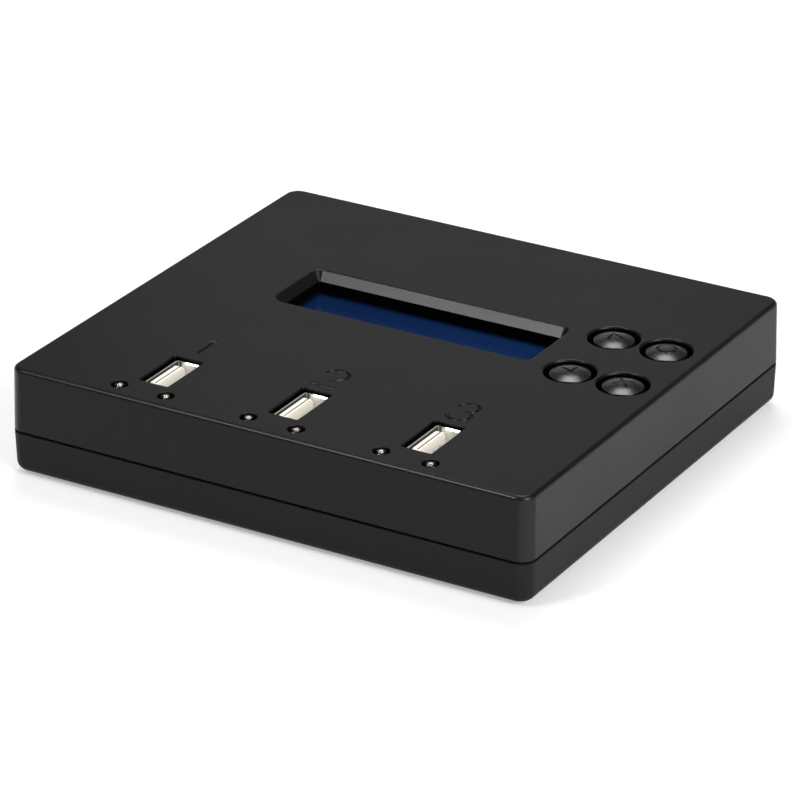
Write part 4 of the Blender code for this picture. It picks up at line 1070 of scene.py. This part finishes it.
# Upright ports: a steel shell round a tongue with contacts on its right face
port = {
    "half": (2.85, 6.55, 0.7), "sheet": 0.35, "lowZ": 7.9, "rimZ": 22.85, "lead": 0.06,
    "bendX": (-0.9, 2.45), "bend": (0.30, 51),
    "baseHalf": (2.2, 5.9, 0.25), "baseZ": 13.4,
    "tongueX": -1.2, "tongueHalf": (0.85, 5.55), "tongueTopZ": 22.65, "tongueCorner": 1.4,
    "tongueEdge": 0.18, "contactX": -0.35, "contactHalf": 0.5, "contactThick": 0.26,
    "contactEdge": 0.07, "tipDrop": 2.5, "offsets": (-3.5, -1.0, 1.0, 3.5),
    "tipGroove": (0.20, 4.6), "tipGrooveSetback": 0.55, "tipGrooveDepth": 1.6,
}


def makePortShell(number, x):
    halfX, halfY, corner = port["half"]
    lead = port["lead"]
    outer = stackForm([(port["lowZ"], *port["half"]), (port["rimZ"] - lead, *port["half"]),
                       (port["rimZ"], halfX - lead * 0.6, halfY - lead * 0.6,
                        corner - lead * 0.6)], 8)
    shell = movedForm(outer, (x, portY, 0))
    inner = [half - port["sheet"] for half in port["half"]]
    hollow = stackForm([(port["lowZ"] - 0.5, *inner), (port["rimZ"] + 0.5, *inner)], 8)
    low, high = port["bendX"]
    out, turn = port["bend"]
    slant = bmesh.new()
    bmesh.ops.create_cube(slant, size=1)
    bmesh.ops.scale(slant, vec=(high - low, 2, 1), verts=slant.verts)
    bmesh.ops.translate(slant, vec=(0, 0, 0.5), verts=slant.verts)
    place = (x + (low + high) / 2, portY + inner[1] + out, port["rimZ"])
    carve(shell, [movedForm(hollow, (x, portY, 0)), movedForm(slant, place, (turn, "X"))],
          "DIFFERENCE")
    keepPiece(shell, f"portShell{number}", "portSteel", "case",
              [f"port_shell_{number}"])


def makePortTongue(number, x):
    base = movedForm(straightForm(*port["baseHalf"][:2], port["lowZ"], port["baseZ"],
                                  port["baseHalf"][2]), (x, portY, 0))
    halfX, halfY = port["tongueHalf"]
    lowZ, highZ = port["baseZ"] - 0.4, port["tongueTopZ"]
    bm = bmesh.new()
    bmesh.ops.create_cube(bm, size=1)
    bmesh.ops.scale(bm, vec=(2 * halfX, 2 * halfY, highZ - lowZ), verts=bm.verts)
    bmesh.ops.translate(bm, vec=(port["tongueX"], 0, (highZ + lowZ) / 2), verts=bm.verts)
    ends = [edge for edge in bm.edges if abs(edge.verts[0].co.y - edge.verts[1].co.y) < 0.01
            and min(vert.co.z for vert in edge.verts) > highZ - 0.01]
    bmesh.ops.bevel(bm, geom=ends, offset=port["tongueCorner"], segments=8, profile=0.5,
                    affect="EDGES", material=-1)
    sides = [edge for edge in bm.edges if len(edge.link_faces) == 2
             and any(abs(abs(face.normal.x) - 1) < 0.01 for face in edge.link_faces)
             and max(vert.co.z for vert in edge.verts) > lowZ + 0.01]
    bmesh.ops.bevel(bm, geom=sides, offset=port["tongueEdge"], segments=3, profile=0.5,
                    affect="EDGES", material=-1)
    tongue = movedForm(bm, (x, portY, 0))
    carve(base, [tongue], "UNION")
    grooves = []
    for offset in port["offsets"]:
        groove = straightForm(0.12, port["contactHalf"] + 0.08, port["baseZ"] + 0.5,
                              highZ - port["tipDrop"] + 0.10, 0.05, 2)
        grooves.append(movedForm(groove, (x + port["contactX"], portY + offset, 0)))
    line = straightForm(*port["tipGroove"], highZ - port["tipGrooveDepth"], highZ + 0.3, 0.05, 2)
    grooves.append(movedForm(line, (x + port["contactX"] - port["tipGrooveSetback"], portY, 0)))
    carve(base, grooves, "DIFFERENCE")
    keepPiece(base, f"portTongue{number}", "portPlastic", "case",
              [f"port_insert_{number}"])


def makePortContacts(number, x):
    bm = bmesh.new()
    for offset in port["offsets"]:
        bar = bmesh.ops.create_cube(bm, size=1)["verts"]
        lowZ, highZ = port["baseZ"] - 0.3, port["tongueTopZ"] - port["tipDrop"]
        bmesh.ops.scale(bm, vec=(port["contactThick"], 2 * port["contactHalf"], highZ - lowZ),
                        verts=bar)
        bmesh.ops.translate(bm, vec=(x + port["contactX"] + 0.06, portY + offset,
                                     (highZ + lowZ) / 2), verts=bar)
    line = bmesh.ops.create_cube(bm, size=1)["verts"]
    width, length = [2 * half - 0.04 for half in port["tipGroove"]]
    depth = port["tipGrooveDepth"] - 0.10
    bmesh.ops.scale(bm, vec=(width, length, depth), verts=line)
    bmesh.ops.translate(bm, vec=(x + port["contactX"] - port["tipGrooveSetback"], portY,
                                 port["tongueTopZ"] - 0.05 - depth / 2), verts=line)
    faceX = x + port["contactX"] + 0.05
    rims = [edge for edge in bm.edges if max(vert.co.x for vert in edge.verts) > faceX]
    bmesh.ops.bevel(bm, geom=rims, offset=port["contactEdge"], segments=2, profile=0.5,
                    affect="EDGES", material=-1)
    keepPiece(keepMesh("contacts", bm), f"portContacts{number}", "contactGoldShaded", "case",
              [])


for portNumber, portPlaceX in enumerate(portX, 1):
    makePortShell(portNumber, portPlaceX)
    makePortTongue(portNumber, portPlaceX)
    makePortContacts(portNumber, portPlaceX)
print("ports:", len(portX))


# Status lights: a clear dome on a flange, with a small cup and two leads inside
light = {"radius": 1.5, "topZ": 23.9, "lowZ": 18.2, "flange": 1.9, "flangeZ": 19.2,
         "lead": 0.25, "leadPitch": 2.54, "boardZ": 7.9, "cup": 0.24, "cupZ": 22.4,
         "cupTopZ": 22.98, "cupPlace": (-0.15, 0.27)}


def makeLight(number, place, finish):
    dome = arc((0, light["topZ"] - light["radius"]), light["radius"], 90, 0, 12)
    dome[0] = (0, light["topZ"])
    profile = dome + [(light["radius"], light["flangeZ"]), (light["flange"], light["flangeZ"]),
                      (light["flange"], light["lowZ"]), (0, light["lowZ"])]
    body = movedForm(turnedForm(profile, 40), (*place, 0))
    keepPiece(body, f"statusLight{number}", finish, "case",
              [f"status_light_{number}"])
    cupProfile = [(0, light["cupZ"] + 0.15), (light["cup"] * 0.45, light["cupZ"] + 0.2),
                  (light["cup"], light["cupTopZ"]), (light["cup"] + 0.12, light["cupTopZ"]),
                  (light["cup"] + 0.12, light["cupZ"] - 0.3), (0, light["cupZ"] - 0.3)]
    cup = movedForm(turnedForm(cupProfile, 24), (place[0] + light["cupPlace"][0],
                                                 place[1] + light["cupPlace"][1], 0))
    leads = []
    for side in (-1, 1):
        lead = straightForm(light["lead"], light["lead"], light["boardZ"],
                            light["cupZ"] - (0.1 if side < 0 else -0.5), 0.05, 2)
        x = place[0] + side * light["leadPitch"] / 2
        leads.append(movedForm(lead, (x, place[1], 0)))
    carve(cup, leads, "UNION")
    keepPiece(cup, f"lightCup{number}", "cupSilver", "case", [])


for lightNumber, lightPlace in enumerate(lightPlaces, 1):
    makeLight(lightNumber, lightPlace, "coolResin" if lightNumber % 2 else "warmResin")
print("status lights:", len(lightPlaces))


# Display pane, feet, case screws and power inlet
glass = {"slab": (31.7, 10.35), "slabZ": (16.2, 18.2), "front": (29.7, 8.35), "frontZ": 18.8}


def makeDisplayPane():
    place = (*opening["window"], 0)
    slab = movedForm(straightForm(*glass["slab"], *glass["slabZ"], 0.2, 3), place)
    half = glass["front"]
    front = stackForm([(glass["slabZ"][1] - 0.4, *half, 0.2),
                       (glass["frontZ"] - 0.1, *half, 0.2),
                       (glass["frontZ"], half[0] - 0.1, half[1] - 0.1, 0.15)], 3)
    carve(slab, [movedForm(front, place)], "UNION")
    keepPiece(slab, "displayPane", "displayBlue", "case", ["display_glass"])


foot = {"radius": 4.5, "topZ": 1.2, "round": 0.45, "dimple": 2.6, "dimpleDepth": 0.2}


def makeFoot(number, place):
    edge = arc((foot["radius"] - foot["round"], foot["round"]), foot["round"], 0, -90, 6)
    ring = [(foot["dimple"] + 0.2, 0), (foot["dimple"], foot["dimpleDepth"] * 0.7),
            (foot["dimple"] - 0.3, foot["dimpleDepth"]), (0, foot["dimpleDepth"])]
    profile = [(0, foot["topZ"]), (foot["radius"] - 0.1, foot["topZ"]),
               (foot["radius"], foot["topZ"] - 0.1)] + edge + ring
    keepPiece(movedForm(turnedForm(profile, 56), place), f"rubberFoot{number}", "footRubber",
              "case", [f"rubber_foot_{number}"])


screw = {"head": 2.7, "headLowZ": 1.2, "headTopZ": 3.0, "shank": 1.5, "root": 1.15,
         "tipZ": 15.0, "pitch": 1.0, "slot": 0.42, "slotReach": 1.55, "slotDepth": 1.1}


def makeCaseScrew(number, place):
    low, top = screw["headLowZ"], screw["headTopZ"]
    dome = arc((screw["head"] - 0.6, low + 0.6), 0.6, -90, 0, 5)
    profile = [(0, low)] + dome + [(screw["head"], top), (screw["root"], top)]
    z = top + 0.6
    while z + screw["pitch"] < screw["tipZ"] - 1:
        profile += [(screw["root"], z), (screw["shank"], z + 0.25),
                    (screw["root"], z + 0.5)]
        z += screw["pitch"]
    profile += [(screw["root"], screw["tipZ"] - 1), (0.3, screw["tipZ"] - 0.05),
                (0, screw["tipZ"])]
    body = movedForm(turnedForm(profile, 32), place)
    tools = []
    for reach in ((screw["slotReach"], screw["slot"] / 2), (screw["slot"] / 2,
                                                            screw["slotReach"])):
        deep = [max(half * 0.45, screw["slot"] / 2) for half in reach]
        tool = stackForm([(low - 0.3, *reach, 0.05), (low, *reach, 0.05),
                          (low + screw["slotDepth"], *deep, 0.05)], 2)
        tools.append(movedForm(tool, place))
    carve(body, tools, "DIFFERENCE")
    keepPiece(body, f"caseScrew{number}", "screwSteel", "case",
              [f"case_screw_{number}"])


socket = {"half": (4.5, 6.75), "middleY": 46.1, "lowZ": 7.9, "highZ": 19.5, "barrel": 3.8,
          "backY": 52.85, "faceY": 54.85, "bore": 3.0, "boreDepth": 9.0, "pin": 1.0,
          "pinFaceY": 53.85, "innerY": 39.35}


def lying(bm, y):
    return movedForm(bm, (inlet["x"], y, inlet["z"]), (-90, "X"))


def makeInlet():
    block = straightForm(*socket["half"], socket["lowZ"], socket["highZ"], 0.4)
    body = movedForm(block, (inlet["x"], socket["middleY"], 0))
    reach = socket["faceY"] - socket["backY"]
    rim = arc((socket["barrel"] - 0.25, reach - 0.25), 0.25, 0, 90, 4)
    barrel = turnedForm([(0, -0.4), (socket["barrel"], -0.4)] + rim + [(0, reach)], 56)
    carve(body, [lying(barrel, socket["backY"])], "UNION")
    lead = 0.35
    bore = turnedForm([(0, -socket["boreDepth"]), (socket["bore"], -socket["boreDepth"]),
                       (socket["bore"], -lead), (socket["bore"] + lead, 0),
                       (socket["bore"] + lead, 0.5), (0, 0.5)], 48)
    length = socket["faceY"] - socket["boreDepth"] - socket["innerY"]
    pinHole = rodForm(socket["pin"] + 0.3, -length - 0.5, 0.5, 24)
    carve(body, [lying(bore, socket["faceY"]),
                 lying(pinHole, socket["faceY"] - socket["boreDepth"])], "DIFFERENCE")
    keepPiece(body, "inletSocket", "inletPlastic", "case",
              ["inlet_housing"])
    length = socket["pinFaceY"] - socket["innerY"]
    tip = arc((socket["pin"] - 0.45, length - 0.45), 0.45, 0, 90, 5)
    pin = turnedForm([(0, 0), (socket["pin"], 0)] + tip + [(0, length)], 32)
    pinForm = lying(pin, socket["innerY"])
    keepPiece(pinForm, "inletPin", "inletBrass", "case", ["inlet_pin"])


makeDisplayPane()
for count, spots in enumerate(zip(fourPlaces(footHole["place"]), fourPlaces(boss["place"])), 1):
    makeFoot(count, spots[0])
    makeCaseScrew(count, spots[1])
makeInlet()
print("display pane, feet, case screws and inlet")


# Finishes of the nodes that stay as the model has them
carried = {
    "displaySteel": ["display_frame"],
    "guideAcrylic": ["light_guide"],
    "boardGreen": ["display_board", "main_board"],
    "headerPlastic": ["display_header"],
    "screwSteel": [f"board_screw_{i}" for i in range(1, 5)]
                  + [f"display_screw_{i}" for i in range(1, 5)],
    "switchPlastic": [name + "_switch_housing" for name in keyPlaces],
    "stemPlastic": [name + "_switch_stem" for name in keyPlaces],
    "chipEpoxy": ["controller_chip", "memory_chip", "buzzer"],
    "canMetal": ["crystal", "input_capacitor"],
    "ferrite": ["power_inductor"],
}
for finishName, nodeNames in carried.items():
    for nodeName in nodeNames:
        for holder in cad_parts[nodeName].material_slots:
            holder.material = finishes[finishName]
print("carried nodes:", sum(len(nodeNames) for nodeNames in carried.values()))
